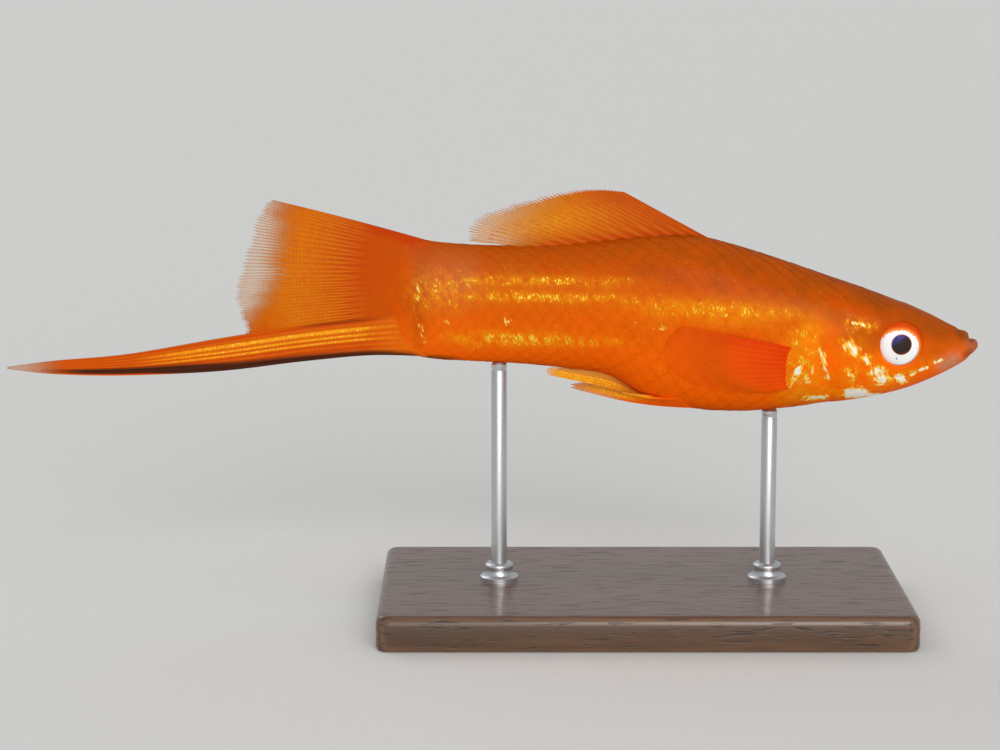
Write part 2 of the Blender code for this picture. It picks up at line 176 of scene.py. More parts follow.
def new_finish(name):
    """A Principled material, its shader node and a wire of the piece's own coordinates."""
    made = bpy.data.materials.new(name)
    made.use_nodes = True
    tree = made.node_tree
    coordinates = tree.nodes.new("ShaderNodeTexCoord").outputs["Object"]
    return made, tree.nodes["Principled BSDF"], Wire(tree, coordinates)


def plug(shader, **sockets):
    """Sets the shader's sockets, named with _ for a space, to values, or links them to wires."""
    for name, value in sockets.items():
        socket = shader.inputs[name.replace("_", " ")]
        if isinstance(value, Wire):
            value.tree.links.new(value.socket, socket)
        else:
            socket.default_value = value


def soft_step(wire, low, high):
    """0 where the wire is below low, 1 above high, with a soft S between."""
    ends = {"Value": wire, "From Min": low, "From Max": high}
    return wire.node("MapRange", ends, interpolation_type="SMOOTHSTEP")


def blend(share, under, over):
    """The colour under where share is 0 and over where it is 1."""
    colours = [c if isinstance(c, Wire) else (*c, 1.0) for c in (under, over)]
    return share.node("Mix", {0: share, 6: colours[0], 7: colours[1]}, 2, data_type="RGBA")


def noise(place, grain, detail=2.0, stretch=(1.0, 1.0, 1.0), tilt=0.0):
    """Cloudy noise from 0 to 1 with grains of that many millimetres, drawn out along the axes by the
    stretch, with the upright axis first tilted towards the head by that many degrees."""
    turned = {"Vector": place, "Rotation": (0.0, math.radians(tilt), 0.0), "Scale": stretch}
    moved = place.node("Mapping", turned, vector_type="TEXTURE")
    inputs = {"Vector": moved, "Scale": 1.0 / (grain * MM), "Detail": detail}
    return place.node("TexNoise", inputs)


def bump(height, depth):
    """A normal tilted by a height from 0 to 1 that stands for that many millimetres."""
    return height.node("Bump", {"Height": height, "Distance": depth * MM, "Strength": 1.0})


floor_finish, shader, place = new_finish("pale floor")
speckle = noise(place, 1.4, 4.0)
plug(
    shader,
    Base_Color=blend(speckle, [c * 0.97 for c in FLOOR_COLOUR], [c * 1.02 for c in FLOOR_COLOUR]),
    Roughness=0.85,
    Normal=bump(speckle, 0.02),
)
steps = np.linspace(-FLOOR_REACH, FLOOR_REACH, FLOOR_POINTS)
floor_points = stacked(steps, steps[:, None], 0.0)
floor = make_piece("floor", floor_points, [quads(FLOOR_POINTS, FLOOR_POINTS)], floor_finish)


# The body is one skin from the lips to the root of the tail fin, cast in soft resin over the core
# and painted. It carries the lips, nostrils, eye rims and the free edges of the gill covers.
STATIONS = np.array((
    # back x and z, belly x and z, half width, widest level, fullness up and down, sweep of the sides
    (-14.0, 44.6, -14.0, 31.6, 0.05, 0.50, 2.0, 2.0, 0.0),
    (-9.0, 43.85, -9.0, 30.3, 0.75, 0.50, 2.0, 2.0, 0.0),
    (-6.6, 43.35, -6.6, 29.85, 1.60, 0.50, 2.0, 2.0, 0.0),
    (-2.0, 43.0, -2.0, 29.6, 2.20, 0.50, 2.0, 2.0, 0.0),
    (3.0, 42.9, 3.0, 29.35, 2.70, 0.51, 2.0, 2.0, 0.0),
    (8.0, 43.1, 8.0, 28.85, 3.30, 0.52, 2.0, 2.0, 0.0),
    (13.0, 43.6, 13.0, 28.1, 3.85, 0.54, 2.0, 2.0, 0.0),
    (17.5, 44.0, 17.5, 25.5, 4.35, 0.56, 2.1, 2.0, 0.0),
    (22.5, 44.1, 22.5, 24.2, 4.80, 0.57, 2.1, 2.1, 0.0),
    (28.0, 42.75, 28.0, 23.9, 5.15, 0.57, 2.1, 2.2, 0.0),
    (33.0, 41.15, 33.0, 24.25, 5.25, 0.57, 2.2, 2.2, 0.0),
    (37.5, 39.6, 37.5, 24.85, 5.15, 0.56, 2.3, 2.2, 0.0),
    (42.0, 38.05, 42.0, 25.45, 4.90, 0.57, 2.5, 2.1, 0.0),
    (46.3, 36.45, 46.3, 26.4, 4.35, 0.58, 2.6, 2.0, 0.0),
    (49.6, 35.0, 49.6, 27.65, 3.50, 0.56, 2.4, 2.0, 0.1),
    (51.6, 33.97, 52.5, 29.1, 2.85, 0.54, 2.2, 2.0, 0.3),
    (52.9, 33.35, 54.2, 30.3, 2.35, 0.52, 2.1, 2.0, 0.45),
    (53.8, 32.8, 54.95, 31.6, 2.00, 0.50, 2.0, 2.0, 0.55),
    (53.65, 32.4, 54.55, 32.15, 1.65, 0.50, 2.0, 2.0, 0.55),
    (52.8, 31.8, 53.2, 31.5, 1.10, 0.50, 2.0, 2.0, 0.4),
))
ROWS_PER_SPAN = (8, 6, 7, 7, 7, 7, 7, 8, 8, 8, 10, 34, 38, 34, 24, 16, 14, 10, 8)
SKIN_COLUMNS = 300
# the way, in x and z, in which the sides of a ring sweep back
JAW_SLOPE = (-0.85, -0.53)
# the station at the lips' foremost edge, and how deep the skin lies under the scales
CREST, COAT = 17, 0.08
SIDES = (("left", 1.0), ("right", -1.0))

GILL_EDGE = np.array((
    (38.6, 36.8), (40.8, 36.2), (42.0, 34.0), (42.1, 31.2), (42.4, 28.6),
    (40.8, 26.8), (38.3, 27.5), (36.7, 30.0), (36.7, 32.7), (37.3, 35.2),
))
GILL_RAISE = 0.24
# the height and width of each fold and dent, the lips' widths being shares of the body's length
GILL_GROOVE, COVER_FOLD = (0.08, 0.16), (0.05, 0.16)
CHEEK_DENT, JAW_DENT = (0.07, 0.22), (0.09, 0.15)
LIP_SWELL, LIP_GROOVE = (0.11, 0.02), (0.09, 0.014)
NOSTRIL_RIM, NOSTRIL_HOLE = (0.07, 0.10), (0.30, 0.17)
EYE_RIM, EYE_RIM_RADIUS = (0.13, 0.13), 2.74
JAW_CREASE = np.array(((53.6, 31.9), (52.6, 31.2), (51.5, 30.4), (50.7, 29.2)))
CHEEK_CREASE = np.array(((42.7, 35.0), (42.3, 32.2), (43.0, 29.6), (45.0, 28.3), (48.0, 28.8)))
NOSTRILS = ((50.0, 2.45, 34.35), (49.2, 2.80, 34.55))
EYE_CENTRE = np.array((45.72, 3.55, 32.2))
EYE_RADIUS, EYE_DEPTH = 2.5, 1.45
EYE_FORWARD = math.radians(9)
EYE_BED = 0.3


def spline(table, share):
    """One smooth curve through the table's rows, share 0 at the first and 1 at the last: within a
    span, the cubic whose slope at each end is half the step between that row's two neighbours."""
    table, share = np.asarray(table, float), np.asarray(share, float)
    spans = len(table) - 1
    along = np.clip(share, 0.0, 1.0) * spans
    first = np.minimum(along.astype(int), spans - 1)
    t = (along - first)[..., None]
    a, b, c, d = (table[np.clip(first + step, 0, spans)] for step in (-1, 0, 1, 2))
    return b + 0.5 * t * (c - a + t * (2 * a - 5 * b + 4 * c - d + t * (3 * (b - c) + d - a)))


def smooth(value, low, high):
    """0 below low, 1 above high, and 3t^2 - 2t^3 between."""
    t = np.clip((value - low) / (high - low), 0.0, 1.0)
    return t * t * (3 - 2 * t)


def bell(distance, width):
    """e to minus the square of the distance in widths."""
    return np.exp(-((distance / width) ** 2))


def body_point(share, turn):
    """The body at a share of its length, 0 at the tail fin and 1 in the mouth, and a turn round it,
    0 on the left side and a quarter on the back: from the ring's widest level towards its back or
    belly by |sin| to the power 2/fullness, and outwards by the half width times |cos| to the same."""
    back_x, back_z, belly_x, belly_z, half, level, up, down, sweep = np.moveaxis(
        spline(STATIONS, share), -1, 0
    )
    out, rise = np.cos(2 * np.pi * turn), np.sin(2 * np.pi * turn)
    power = 2 / np.where(rise >= 0, up, down)
    lift = np.abs(rise) ** power
    wide_x, wide_z = belly_x + (back_x - belly_x) * level, belly_z + (back_z - belly_z) * level
    x = wide_x + (np.where(rise >= 0, back_x, belly_x) - wide_x) * lift
    z = wide_z + (np.where(rise >= 0, back_z, belly_z) - wide_z) * lift
    y = half * np.sign(out) * np.abs(out) ** power
    return stacked(x + JAW_SLOPE[0] * sweep * out**2, y, z + JAW_SLOPE[1] * sweep * out**2)


def body_normal(share, turn, step=2e-4):
    """The outward unit normal: the step round the body crossed with the step along it."""
    round_it = body_point(share, turn + step) - body_point(share, turn - step)
    along_it = body_point(share + step, turn) - body_point(share - step, turn)
    normal = np.cross(round_it, along_it)
    return normal / np.maximum(np.linalg.norm(normal, axis=-1, keepdims=True), 1e-12)


def fold(size, distance):
    """The rise of a fold with that height and width at each distance from its middle."""
    height, width = size
    return height * bell(distance, width)


def line_distance(points, path):
    """Distance in the side view from each point to a smooth path through the places given."""
    drawn = spline(path, np.linspace(0, 1, 10 * len(path)))
    start, step = drawn[:-1], np.diff(drawn, axis=0)
    flat = points[..., None, (0, 2)] - start
    share = np.clip((flat * step).sum(-1) / (step**2).sum(-1), 0, 1)
    return np.linalg.norm(flat - share[..., None] * step, axis=-1).min(-1)


def inside_edge(points, edge):
    """How far each point lies inside a closed smooth outline of the side view, along the spoke from
    the outline's middle; less than 0 is outside."""
    middle = edge.mean(axis=0)
    loop = spline(np.vstack([edge, edge[:1]]), np.linspace(0, 1, 120)) - middle
    angle, reach = np.arctan2(loop[:, 1], loop[:, 0]), np.hypot(loop[:, 0], loop[:, 1])
    order = np.argsort(angle)
    x, z = points[..., 0] - middle[0], points[..., 2] - middle[1]
    return np.interp(np.arctan2(z, x), angle[order], reach[order], period=2 * np.pi) - np.hypot(x, z)


def eye_axes(side):
    """The eye's outward axis on that side and the place of its centre."""
    axis = np.array((math.sin(EYE_FORWARD), side * math.cos(EYE_FORWARD), 0.0))
    return axis, EYE_CENTRE * (1.0, side, 1.0)


def head_relief(points, normals, share):
    """Moves skin points out or in for the gill covers, creases, nostrils and lips, and lays the skin
    round each eye: within the rim it runs flat under the eyeball, and it rises in a thin ring."""
    side_on = smooth(np.abs(normals[..., 1]), 0.25, 0.6)
    x, z = points[..., 0], points[..., 2]
    inside = inside_edge(points, GILL_EDGE)
    to_rear = 1 - smooth(x, 39.6, 42.6)
    lift = GILL_RAISE * smooth(inside, -0.02, 0.4) * to_rear
    lift -= fold(GILL_GROOVE, inside + 0.16) * to_rear
    lift *= (1 - 0.8 * smooth(z, 33.0, 35.0)) * (0.25 + 0.75 * smooth(z, 27.6, 29.6))
    lift -= fold(COVER_FOLD, inside - 1.3) * (1 - smooth(x, 38.0, 39.0)) * (1 - smooth(z, 31.0, 33.0))
    lift -= fold(CHEEK_DENT, line_distance(points, CHEEK_CREASE))
    lift -= fold(JAW_DENT, line_distance(points, JAW_CREASE))
    lift = lift * side_on
    from_crest = share - CREST / (len(STATIONS) - 1)
    lift += fold(LIP_SWELL, from_crest + 0.012) - fold(LIP_GROOVE, from_crest + 0.052)
    for place in NOSTRILS:
        far = np.linalg.norm(stacked(x, np.abs(points[..., 1]), z) - place, axis=-1)
        lift += fold(NOSTRIL_RIM, far - 0.30) - fold(NOSTRIL_HOLE, far)
    moved = points + normals * lift[..., None]
    for _, side in SIDES:
        axis, centre = eye_axes(side)
        offset = moved - centre
        out = offset @ axis
        radius = np.linalg.norm(offset - out[..., None] * axis, axis=-1)
        this_side = side * moved[..., 1] > 1.0
        bed = (EYE_BED - out) * (1 - smooth(radius, 2.5, 3.5))
        change = (bed + fold(EYE_RIM, radius - EYE_RIM_RADIUS)) * this_side
        moved = moved + change[..., None] * axis
    return moved


def add_poles(grid):
    """A grid of rings as one list, with the middle of its first and of its last ring at the end."""
    return np.vstack([grid.reshape(-1, grid.shape[-1]), grid[0].mean(axis=0), grid[-1].mean(axis=0)])


def tube_faces(rows, columns):
    """Squares of a grid of closed rings, and a fan over its first and its last ring."""
    ring = np.arange(columns)
    after, last = np.roll(ring, -1), (rows - 1) * columns
    start = stacked(after, ring, rows * columns)
    end = stacked(last + ring, last + after, rows * columns + 1)
    return [quads(rows, columns, ring=True), start, end]


def soft_spots(points, table):
    """At each point the strongest of the soft ovals in the table, drawn in the side view. An oval has
    the x and z of its middle, half its length and height, its tilt in degrees and its strength, and
    fades as e^-(u^4 + v^2), u being along it."""
    strongest = np.zeros(points.shape[:-1])
    for middle_x, middle_z, long, high, tilt, strength in table:
        cosine, sine = math.cos(math.radians(tilt)), math.sin(math.radians(tilt))
        x, z = points[..., 0] - middle_x, points[..., 2] - middle_z
        u, v = (x * cosine + z * sine) / long, (z * cosine - x * sine) / high
        strongest = np.maximum(strongest, strength * np.exp(-(u**4) - v**2))
    return strongest


GOLD_SPOTS = (
    (4.2, 39.2, 11.0, 0.55, 0, 0.85), (5.5, 37.4, 10.5, 0.55, 0, 1.0), (25.0, 36.2, 10.5, 0.9, -3, 0.8),
    (1.8, 32.5, 6.6, 0.8, 0, 1.12), (9.0, 32.3, 6.0, 0.6, 0, 0.8), (34.7, 31.0, 3.8, 1.7, 84, 0.95),
    (40.9, 34.6, 2.0, 0.7, -8, 1.0), (40.1, 31.9, 1.7, 1.5, -50, 1.0), (41.8, 30.6, 1.1, 1.0, -50, 0.95),
    (40.2, 28.8, 1.4, 1.2, -50, 1.0), (43.6, 28.5, 2.2, 1.6, -50, 1.05), (47.0, 28.9, 3.6, 0.6, 22, 0.9),
    (37.9, 26.4, 4.5, 0.9, 4, 0.8), (-6.5, 37.8, 3.2, 2.4, 0, 0.65), (36.0, 34.0, 2.4, 1.0, 70, 0.7),
)
# Painted highlights: glints of light on the silvery gill covers, chest and scales are painted white here,
# though the patches are partly silver of their own.
WHITE_GLINT_SPOTS = (
    (40.1, 31.9, 1.2, 0.9, -55, 1.0), (41.8, 30.6, 0.8, 0.5, -60, 1.0), (43.5, 28.6, 1.5, 1.1, -50, 1.1),
    (40.2, 28.8, 0.9, 0.7, -50, 0.8), (37.1, 30.0, 2.2, 0.35, 103, 1.15), (33.9, 28.8, 1.7, 0.42, 66, 1.3),
    (35.3, 28.6, 1.3, 0.38, 72, 1.2), (41.0, 26.4, 1.6, 0.85, -4, 1.5), (36.4, 25.9, 1.7, 0.4, 4, 1.1),
    (46.0, 28.1, 1.1, 0.6, -38, 1.1), (47.3, 28.7, 0.6, 0.35, 22, 1.0), (48.5, 29.3, 0.8, 0.28, 26, 1.1),
    (50.1, 30.1, 0.7, 0.24, 26, 1.1), (40.9, 34.6, 1.5, 0.35, -8, 0.85), (1.4, 34.5, 0.5, 0.45, 60, 1.15),
    (18.8, 34.2, 0.7, 0.5, 0, 0.9), (-8.7, 37.2, 1.8, 0.20, 84, 0.75), (-8.3, 33.2, 2.1, 0.24, -72, 0.85),
    (2.6, 32.2, 4.0, 0.45, 0, 0.36), (-6.4, 38.0, 1.1, 0.25, -55, 0.68), (-4.7, 38.3, 0.9, 0.25, -62, 0.65),
    (-2.9, 38.4, 1.5, 0.25, -66, 0.70), (-0.6, 38.2, 0.9, 0.25, -60, 0.6), (-5.6, 34.4, 0.8, 0.3, 0, 0.6),
    (42.9, 26.0, 1.3, 0.4, -2, 1.25),
)
WARM_SPOTS = (
    (34.9, 30.0, 6.0, 3.0, 90, 1.0), (44.4, 29.8, 5.0, 3.0, -20, 0.35), (37.9, 27.0, 6.0, 2.2, 0, 0.35),
    (25.6, 35.9, 11.0, 1.6, -4, 0.9), (4.0, 38.3, 12.0, 2.2, 0, 0.45), (2.0, 32.5, 8.0, 1.0, 0, 0.5),
)
# Pale patches: the lips' own paler colour, and a painted sheen on the lower jaw and the tail stem.
PALE_AND_SHEEN_SPOTS = (
    (51.5, 29.8, 1.5, 1.0, 25, 1.15), (-5.2, 39.3, 3.6, 2.8, 0, 0.22), (54.4, 31.8, 1.2, 0.9, 0, 0.4),
)
DUSKY_SPOTS = (
    (41.6, 33.3, 2.8, 1.7, -20, 0.52), (50.2, 33.1, 3.6, 1.6, -26, 0.50), (48.6, 31.0, 1.4, 1.6, 0, 0.30),
    (36.5, 36.3, 4.0, 1.0, -18, 0.25), (53.3, 32.7, 1.6, 0.8, -35, 1.0), (54.4, 31.9, 1.3, 1.1, 0, 0.95),
    (-8.6, 30.2, 4.6, 0.34, -3, 1.2), (49.9, 31.4, 1.6, 1.1, -30, 0.45), (53.9, 31.3, 1.3, 0.9, 60, 0.85),
    (1.0, 35.0, 11.0, 8.0, 0, 0.14), (47.9, 31.2, 1.8, 3.2, 10, 0.22),
)


def tail_red(x, z):
    """How red the tail fin is: most about half way out, towards its top, and along its top edge."""
    middle = 0.7 * bell(x + 17.0, 4.5) * (0.5 + 0.5 * smooth(z, 36.0, 42.0))
    top = 0.75 * smooth(z + 0.29 * (x + 8.5), 41.6, 43.4)
    top = top * (1 - smooth(x, -9.5, -5.0)) * smooth(x, -22, -14)
    return np.maximum(middle, top)


def body_paint(points):
    """What the flesh colour reads at each point of the body: its height from 0 at the belly to 1 at the
    back, how warm and how dark it is, how much gold it has, how much painted white glint, how much pale
    colour, the lips' own and a painted sheen on the jaw and tail stem, and what its scale adds: edge, the
    scale's own chance, and the tail root's red."""
    x, z = points[..., 0], points[..., 2]
    body = station_at(x)
    rise = np.clip((z - body[..., 3]) / (body[..., 1] - body[..., 3]), 0, 1)
    rise = rise + (np.interp(z, (31.0, 37.0), (0.50, 0.82)) - rise) * (1 - smooth(x, -9.0, -6.4))
    crown = 0.35 * smooth(rise, 0.7, 1.0) * smooth(x, 34, 44)
    dusk = np.maximum(soft_spots(points, DUSKY_SPOTS), crown)
    paint = stacked(rise, soft_spots(points, WARM_SPOTS), dusk)
    spots = [soft_spots(points, table) for table in (GOLD_SPOTS, WHITE_GLINT_SPOTS, PALE_AND_SHEEN_SPOTS)]
    plate = stacked(0.0, 0.0, tail_red(x, z))
    return {"paint": paint, "glint": stacked(*spots), "plate": plate}


# Painted light, in part: the flesh runs from lightest at the belly to darkest on the back. The back is
# darker of its own, and the belly's colour is raised against the shade that falls under it.
FLESH_STOPS = (
    (0.0, (1.0, 0.125, 0.001)), (0.30, (1.0, 0.135, 0.001)), (0.58, (0.80, 0.115, 0.001)),
    (0.80, (0.60, 0.080, 0.001)), (1.0, (0.50, 0.080, 0.002)),
)
FLESH_WARM, FLESH_FRECKLE = (1.0, 0.25, 0.004), (0.56, 0.045, 0.001)
FLESH_UMBER, FLESH_DUSK, FLESH_PALE_AND_SHEEN = (0.40, 0.070, 0.003), (0.30, 0.066, 0.004), (0.60, 0.23, 0.12)
# The brightest gold and the white glint below are painted highlights, glints of light put into the colour.
GOLD_HAZE, GOLD_DEEP, GOLD_GLINT = (0.92, 0.27, 0.003), (0.88, 0.46, 0.010), (1.0, 0.66, 0.09)
WHITE_GLINT, TAIL_RED = (1.0, 0.97, 0.86), (0.58, 0.040, 0.001)


def three(place, name):
    """The three numbers of a point attribute of the piece."""
    read = place.node("Attribute", output=1, attribute_name=name)
    first = place.node("SeparateXYZ", {"Vector": read})
    return first, first.other(1), first.other(2)


flesh, shader, place = new_finish("painted flesh")
rise, warm, dusk = three(place, "paint")
gold, glint_share, bare = three(place, "glint")
rim, chance, red = three(place, "plate")
mottle = noise(place, 2.4, 3.0)
freckle = noise(place, 0.34, 2.0)
flecks = noise(place, 0.15, 1.0, (1.0, 1.0, 2.6), -14)
clump = noise(place, 0.75, 1.0, (1.0, 1.0, 1.5), -30)
along = place.node("SeparateXYZ", {"Vector": place})
# The glints lean back towards the tail, but forward beside the root of the pectoral fin.
by_fin = soft_step(along, 31.0 * MM, 32.0 * MM) * (1 - soft_step(along, 36.2 * MM, 36.8 * MM))
hatch = noise(place, 0.26, 0.0, (1.0, 1.0, 4.0), -26)
hatch = hatch + (noise(place, 0.26, 0.0, (1.0, 1.0, 4.0), 34) - hatch) * by_fin
# The colour by height is lighter at the belly, partly as painted light against its shade.
height = rise + (mottle - 0.5) * 0.40 + chance * 0.05
colour = height.node("ValToRGB", {"Fac": height}, stops=FLESH_STOPS)
colour = blend(warm * soft_step(mottle, 0.2, 0.7), colour, FLESH_WARM)
clouds = soft_step(rise, 0.62, 0.9) * soft_step(mottle, 0.42, 0.68) * soft_step(along, 8.0 * MM, 20.0 * MM)
colour = blend(clouds * 0.6, colour, FLESH_UMBER)
colour = blend(dusk, colour, FLESH_DUSK)
colour = blend(red * (0.6 + soft_step(mottle, 0.35, 0.65) * 0.4), colour, TAIL_RED)
# Pale colour, stronger at scale edges: the lips' own, and a painted sheen on the jaw and tail stem.
colour = blend(bare * (0.85 + rim * 0.4), colour, FLESH_PALE_AND_SHEEN)
colour = blend(soft_step(freckle, 0.48, 0.72) * 0.20 + rim * (1 - bare) * 0.16, colour, FLESH_FRECKLE)
haze = gold * soft_step(clump + chance * 0.14 + freckle * 0.3, 0.44, 0.84)
fleck = flecks + haze * 0.29 + clump * 0.12 + chance * 0.05 - 0.04
# Painted highlights: the brightest flecks, the sparks, are glints of light painted pale gold. The white
# strokes are glints painted white, with pale gold round them.
golden, spark = soft_step(fleck, 0.74, 0.90), soft_step(fleck, 0.87, 0.97)
stroke = glint_share + (hatch - 0.5) * 1.25 + (clump - 0.5) * 0.2
shining = soft_step(stroke, 0.82, 1.08)
colour = blend(haze * 0.75, colour, GOLD_HAZE)
colour = blend(golden * 0.80, colour, GOLD_DEEP)
colour = blend(spark * 0.9, colour, GOLD_GLINT)
colour = blend(soft_step(stroke, 0.48, 0.85) * 0.9, colour, GOLD_GLINT)
colour = blend(shining, colour, WHITE_GLINT)
plug(
    shader,
    Base_Color=colour,
    Roughness=0.52 - spark * 0.16 - shining * 0.15 + (freckle - 0.5) * 0.10,
    Metallic=spark * 0.4 + shining * 0.2,
    IOR=1.08,
    Coat_Weight=0.03,
    Coat_Roughness=0.15,
    Subsurface_Weight=0.10,
    Subsurface_Radius=(1.0, 0.30, 0.10),
    Subsurface_Scale=0.7 * MM,
    Normal=bump(freckle * 0.6 + hatch * 0.4, 0.02),
)

spans = len(STATIONS) - 1
spine_share = np.linspace(0.0, CREST / spans, 2000)
spine_x = spline(STATIONS[:, :1], spine_share)[..., 0]


def station_at(x):
    """The sizes of the upright ring at each x."""
    return spline(STATIONS, np.interp(x, spine_x, spine_share))


def flank_y(x, z):
    """Half the body's width at each x and height: the half width times (1 - s^f)^(1/f), s being the
    share of the way from the widest level to the back or belly and f the fullness there."""
    _, top, _, bottom, half, level, up, down, _ = np.moveaxis(station_at(x), -1, 0)
    widest = bottom + (top - bottom) * level
    above = z >= widest
    share = np.where(above, (z - widest) / (top - widest), (widest - z) / (widest - bottom))
    full = np.where(above, up, down)
    return half * (1 - np.clip(share, 0.0, 0.98) ** full) ** (1 / full)


def scaled(points):
    """1 where the body bears scales and 0 on the face, gill covers, throat and tail-fin root."""
    x, z = points[..., 0], points[..., 2]
    off_cover = smooth(-inside_edge(points, GILL_EDGE), 0.1, 0.5)
    trunk = 1 - smooth(x, 38.0, 38.8)
    nape = smooth(z - 0.28 * (46.0 - x), 34.9, 35.6) * (1 - smooth(x, 46.0, 47.0))
    return smooth(x, -9.6, -8.8) * off_cover * np.maximum(trunk, nape)


def ride_as(piece, slot, *nodes):
    """The piece rides on the model's one body and stands for those nodes, which it hides; the slot is not
    used.
    """
    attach(piece, "root")
    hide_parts(*nodes)


skin_share = np.concatenate(
    [(first + np.arange(count) / count) / spans for first, count in enumerate(ROWS_PER_SPAN)] + [[1.0]]
)
share, turn = np.meshgrid(skin_share, np.arange(SKIN_COLUMNS) / SKIN_COLUMNS, indexing="ij")
bare_body = body_point(share, turn)
outward = body_normal(share, turn)
inset = bare_body - outward * COAT * scaled(bare_body)[..., None]
skin_points = add_poles(head_relief(inset, outward, share))
skin_faces = tube_faces(*share.shape)
skin = make_piece("skin", skin_points, skin_faces, flesh, fields=body_paint(skin_points))
ride_as(skin, "skin", "head", "lower_jaw", "gill_cover_left", "gill_cover_right", "torso", "tail_stem")


# The scales are thin plates set in the skin in staggered rows, each lying over the two behind it
# and rounded at its free end. They are cast with the skin and painted with it.
ROWS_ROUND = 20
PITCH_X = (-9.0, 5.0, 20.0, 35.0, 40.0, 47.0)
PITCH = (1.55, 1.70, 2.05, 2.20, 1.90, 1.50)
# a plate's length in pitches, and half its width in rows
PLATE_LONG, PLATE_WIDE = 1.62, 0.57
PLATE_LENGTHS = (0.93, 1.07)
PLATE_MIDDLE = 0.9
PLATE_ROUNDING, PLATE_ROUND_POWER = 0.42, 2.2
# heights over the body's surface, and how far the sides and the nape's plates lie below them
PLATE_ROOT, PLATE_EDGE, PLATE_THICK = -0.10, 0.0, 0.03
SIDE_DROP, NAPE_DROP = 0.02, 0.028
ROOT_STRAY, TURN_STRAY, LIFT_STRAY = 0.03, 0.025, 0.008
PLATE_POINTS = (5, 7)
PATCH = 0.003
SCALE_SEED = 7

dice = np.random.default_rng(SCALE_SEED)
fine_x = np.linspace(-9.0, 47.0, 600)
rows_along = np.concatenate([[0.0], np.cumsum(np.diff(fine_x) / np.interp(fine_x[1:], PITCH_X, PITCH))])
row_x = np.interp(np.arange(0.0, rows_along[-1], 0.5), rows_along, fine_x)
row, place_round = np.meshgrid(np.arange(len(row_x)), np.arange(ROWS_ROUND), indexing="ij")
root_x = row_x[row]
root_turn = (place_round + 0.5 * (row % 2)) / ROWS_ROUND
root_x = (root_x + dice.normal(0, ROOT_STRAY, root_x.shape)).ravel()
root_turn = (root_turn + dice.normal(0, TURN_STRAY, root_turn.shape) / ROWS_ROUND).ravel()
root_share = np.interp(root_x, spine_x, spine_share)
middle_share = np.interp(root_x - PLATE_MIDDLE, spine_x, spine_share)
keep = scaled(body_point(root_share, root_turn)) * scaled(body_point(middle_share, root_turn)) > 0.5
root_x, root_turn, root_share = root_x[keep], root_turn[keep], root_share[keep]
count = len(root_x)

rows, columns = PLATE_POINTS
to_end, to_side = np.meshgrid(np.linspace(0, 1, rows), np.linspace(-1, 1, columns), indexing="ij")
length = np.interp(root_x, PITCH_X, PITCH) * PLATE_LONG * dice.uniform(*PLATE_LENGTHS, count)
rounding = 1 - PLATE_ROUNDING * np.abs(to_side) ** PLATE_ROUND_POWER
plate_x = root_x[:, None, None] - length[:, None, None] * to_end * rounding
wide = PLATE_WIDE / ROWS_ROUND * (0.8 + 0.2 * np.sin(np.pi * to_end))
plate_turn = root_turn[:, None, None] + to_side * wide
plate_share = np.interp(plate_x, spine_x, spine_share)
lift = PLATE_ROOT + (PLATE_EDGE - PLATE_ROOT) * to_end - SIDE_DROP * to_side**2
lift = lift + dice.normal(0, LIFT_STRAY, (count, 1, 1)) * to_end
lift = lift - NAPE_DROP * to_end * smooth(plate_x, 30, 38)
surface, normals = body_point(plate_share, plate_turn), body_normal(plate_share, plate_turn)
tops = surface + normals * lift[..., None]
bottoms = (tops - normals * PLATE_THICK)[:, 1:-1, 1:-1]

upper = np.arange(rows * columns).reshape(rows, columns)
lower = upper.copy()
inner = lower[1:-1, 1:-1]
inner[:] = rows * columns + np.arange(inner.size).reshape(inner.shape)
top_faces = quads(rows, columns)
plate_faces = np.vstack([top_faces, lower.ravel()[top_faces][:, ::-1]])
plate_size = rows * columns + inner.size
points = np.concatenate([tops.reshape(count, -1, 3), bottoms.reshape(count, -1, 3)], axis=1)
faces = (plate_faces[None] + plate_size * np.arange(count)[:, None, None]).reshape(-1, 4)
rim = np.maximum(np.abs(to_side), to_end) ** 6
rim = np.concatenate([rim.ravel(), rim[1:-1, 1:-1].ravel()])
fields = body_paint(points)
fields["plate"][..., 0] = rim * (1 - 0.7 * smooth(points[..., 0], 32, 38))
fields["plate"][..., 1] = dice.uniform(0, 1, count)[:, None]
scales = make_piece("scales", points, [faces], flesh, fields=fields, sharp=50)
patch = stacked(to_side, 1 - to_end)
patch = np.concatenate([patch.reshape(-1, 2), patch[1:-1, 1:-1].reshape(-1, 2)]) * PATCH / 2
roots = stacked(root_turn % 1.0, root_share) * 0.99
unwrap = (roots[:, None] + patch[None]).reshape(-1, 2)
layer = scales.data.uv_layers.new(name="OFBake")
layer.data.foreach_set("uv", unwrap[faces.ravel()].astype(np.float32).ravel())
ride_as(scales, "skin")


# Each eye is a glass ball pressed into the head: a domed black pupil with painted reflections, a
# silver-white iris set a little low, a ragged orange-red band over it, and a painted highlight
# along the ball's upper rim, all under one clear coat.
PUPIL, IRIS_SQUASH = 1.10, 1.12
PUPIL_MIDDLE, IRIS_MIDDLE, SPECK = (-0.24, 0.10), (-0.38, -0.36), (-0.69, -1.5)
IRIS_SILVER, IRIS_GREY, IRIS_VIOLET = (1.0, 1.0, 1.0), (0.72, 0.74, 0.80), (0.22, 0.17, 0.46)
# The iris rim colour is a painted highlight.
IRIS_RED, IRIS_ORANGE, IRIS_RIM_HIGHLIGHT = (0.76, 0.070, 0.002), (1.0, 0.27, 0.030), (0.85, 0.22, 0.02)
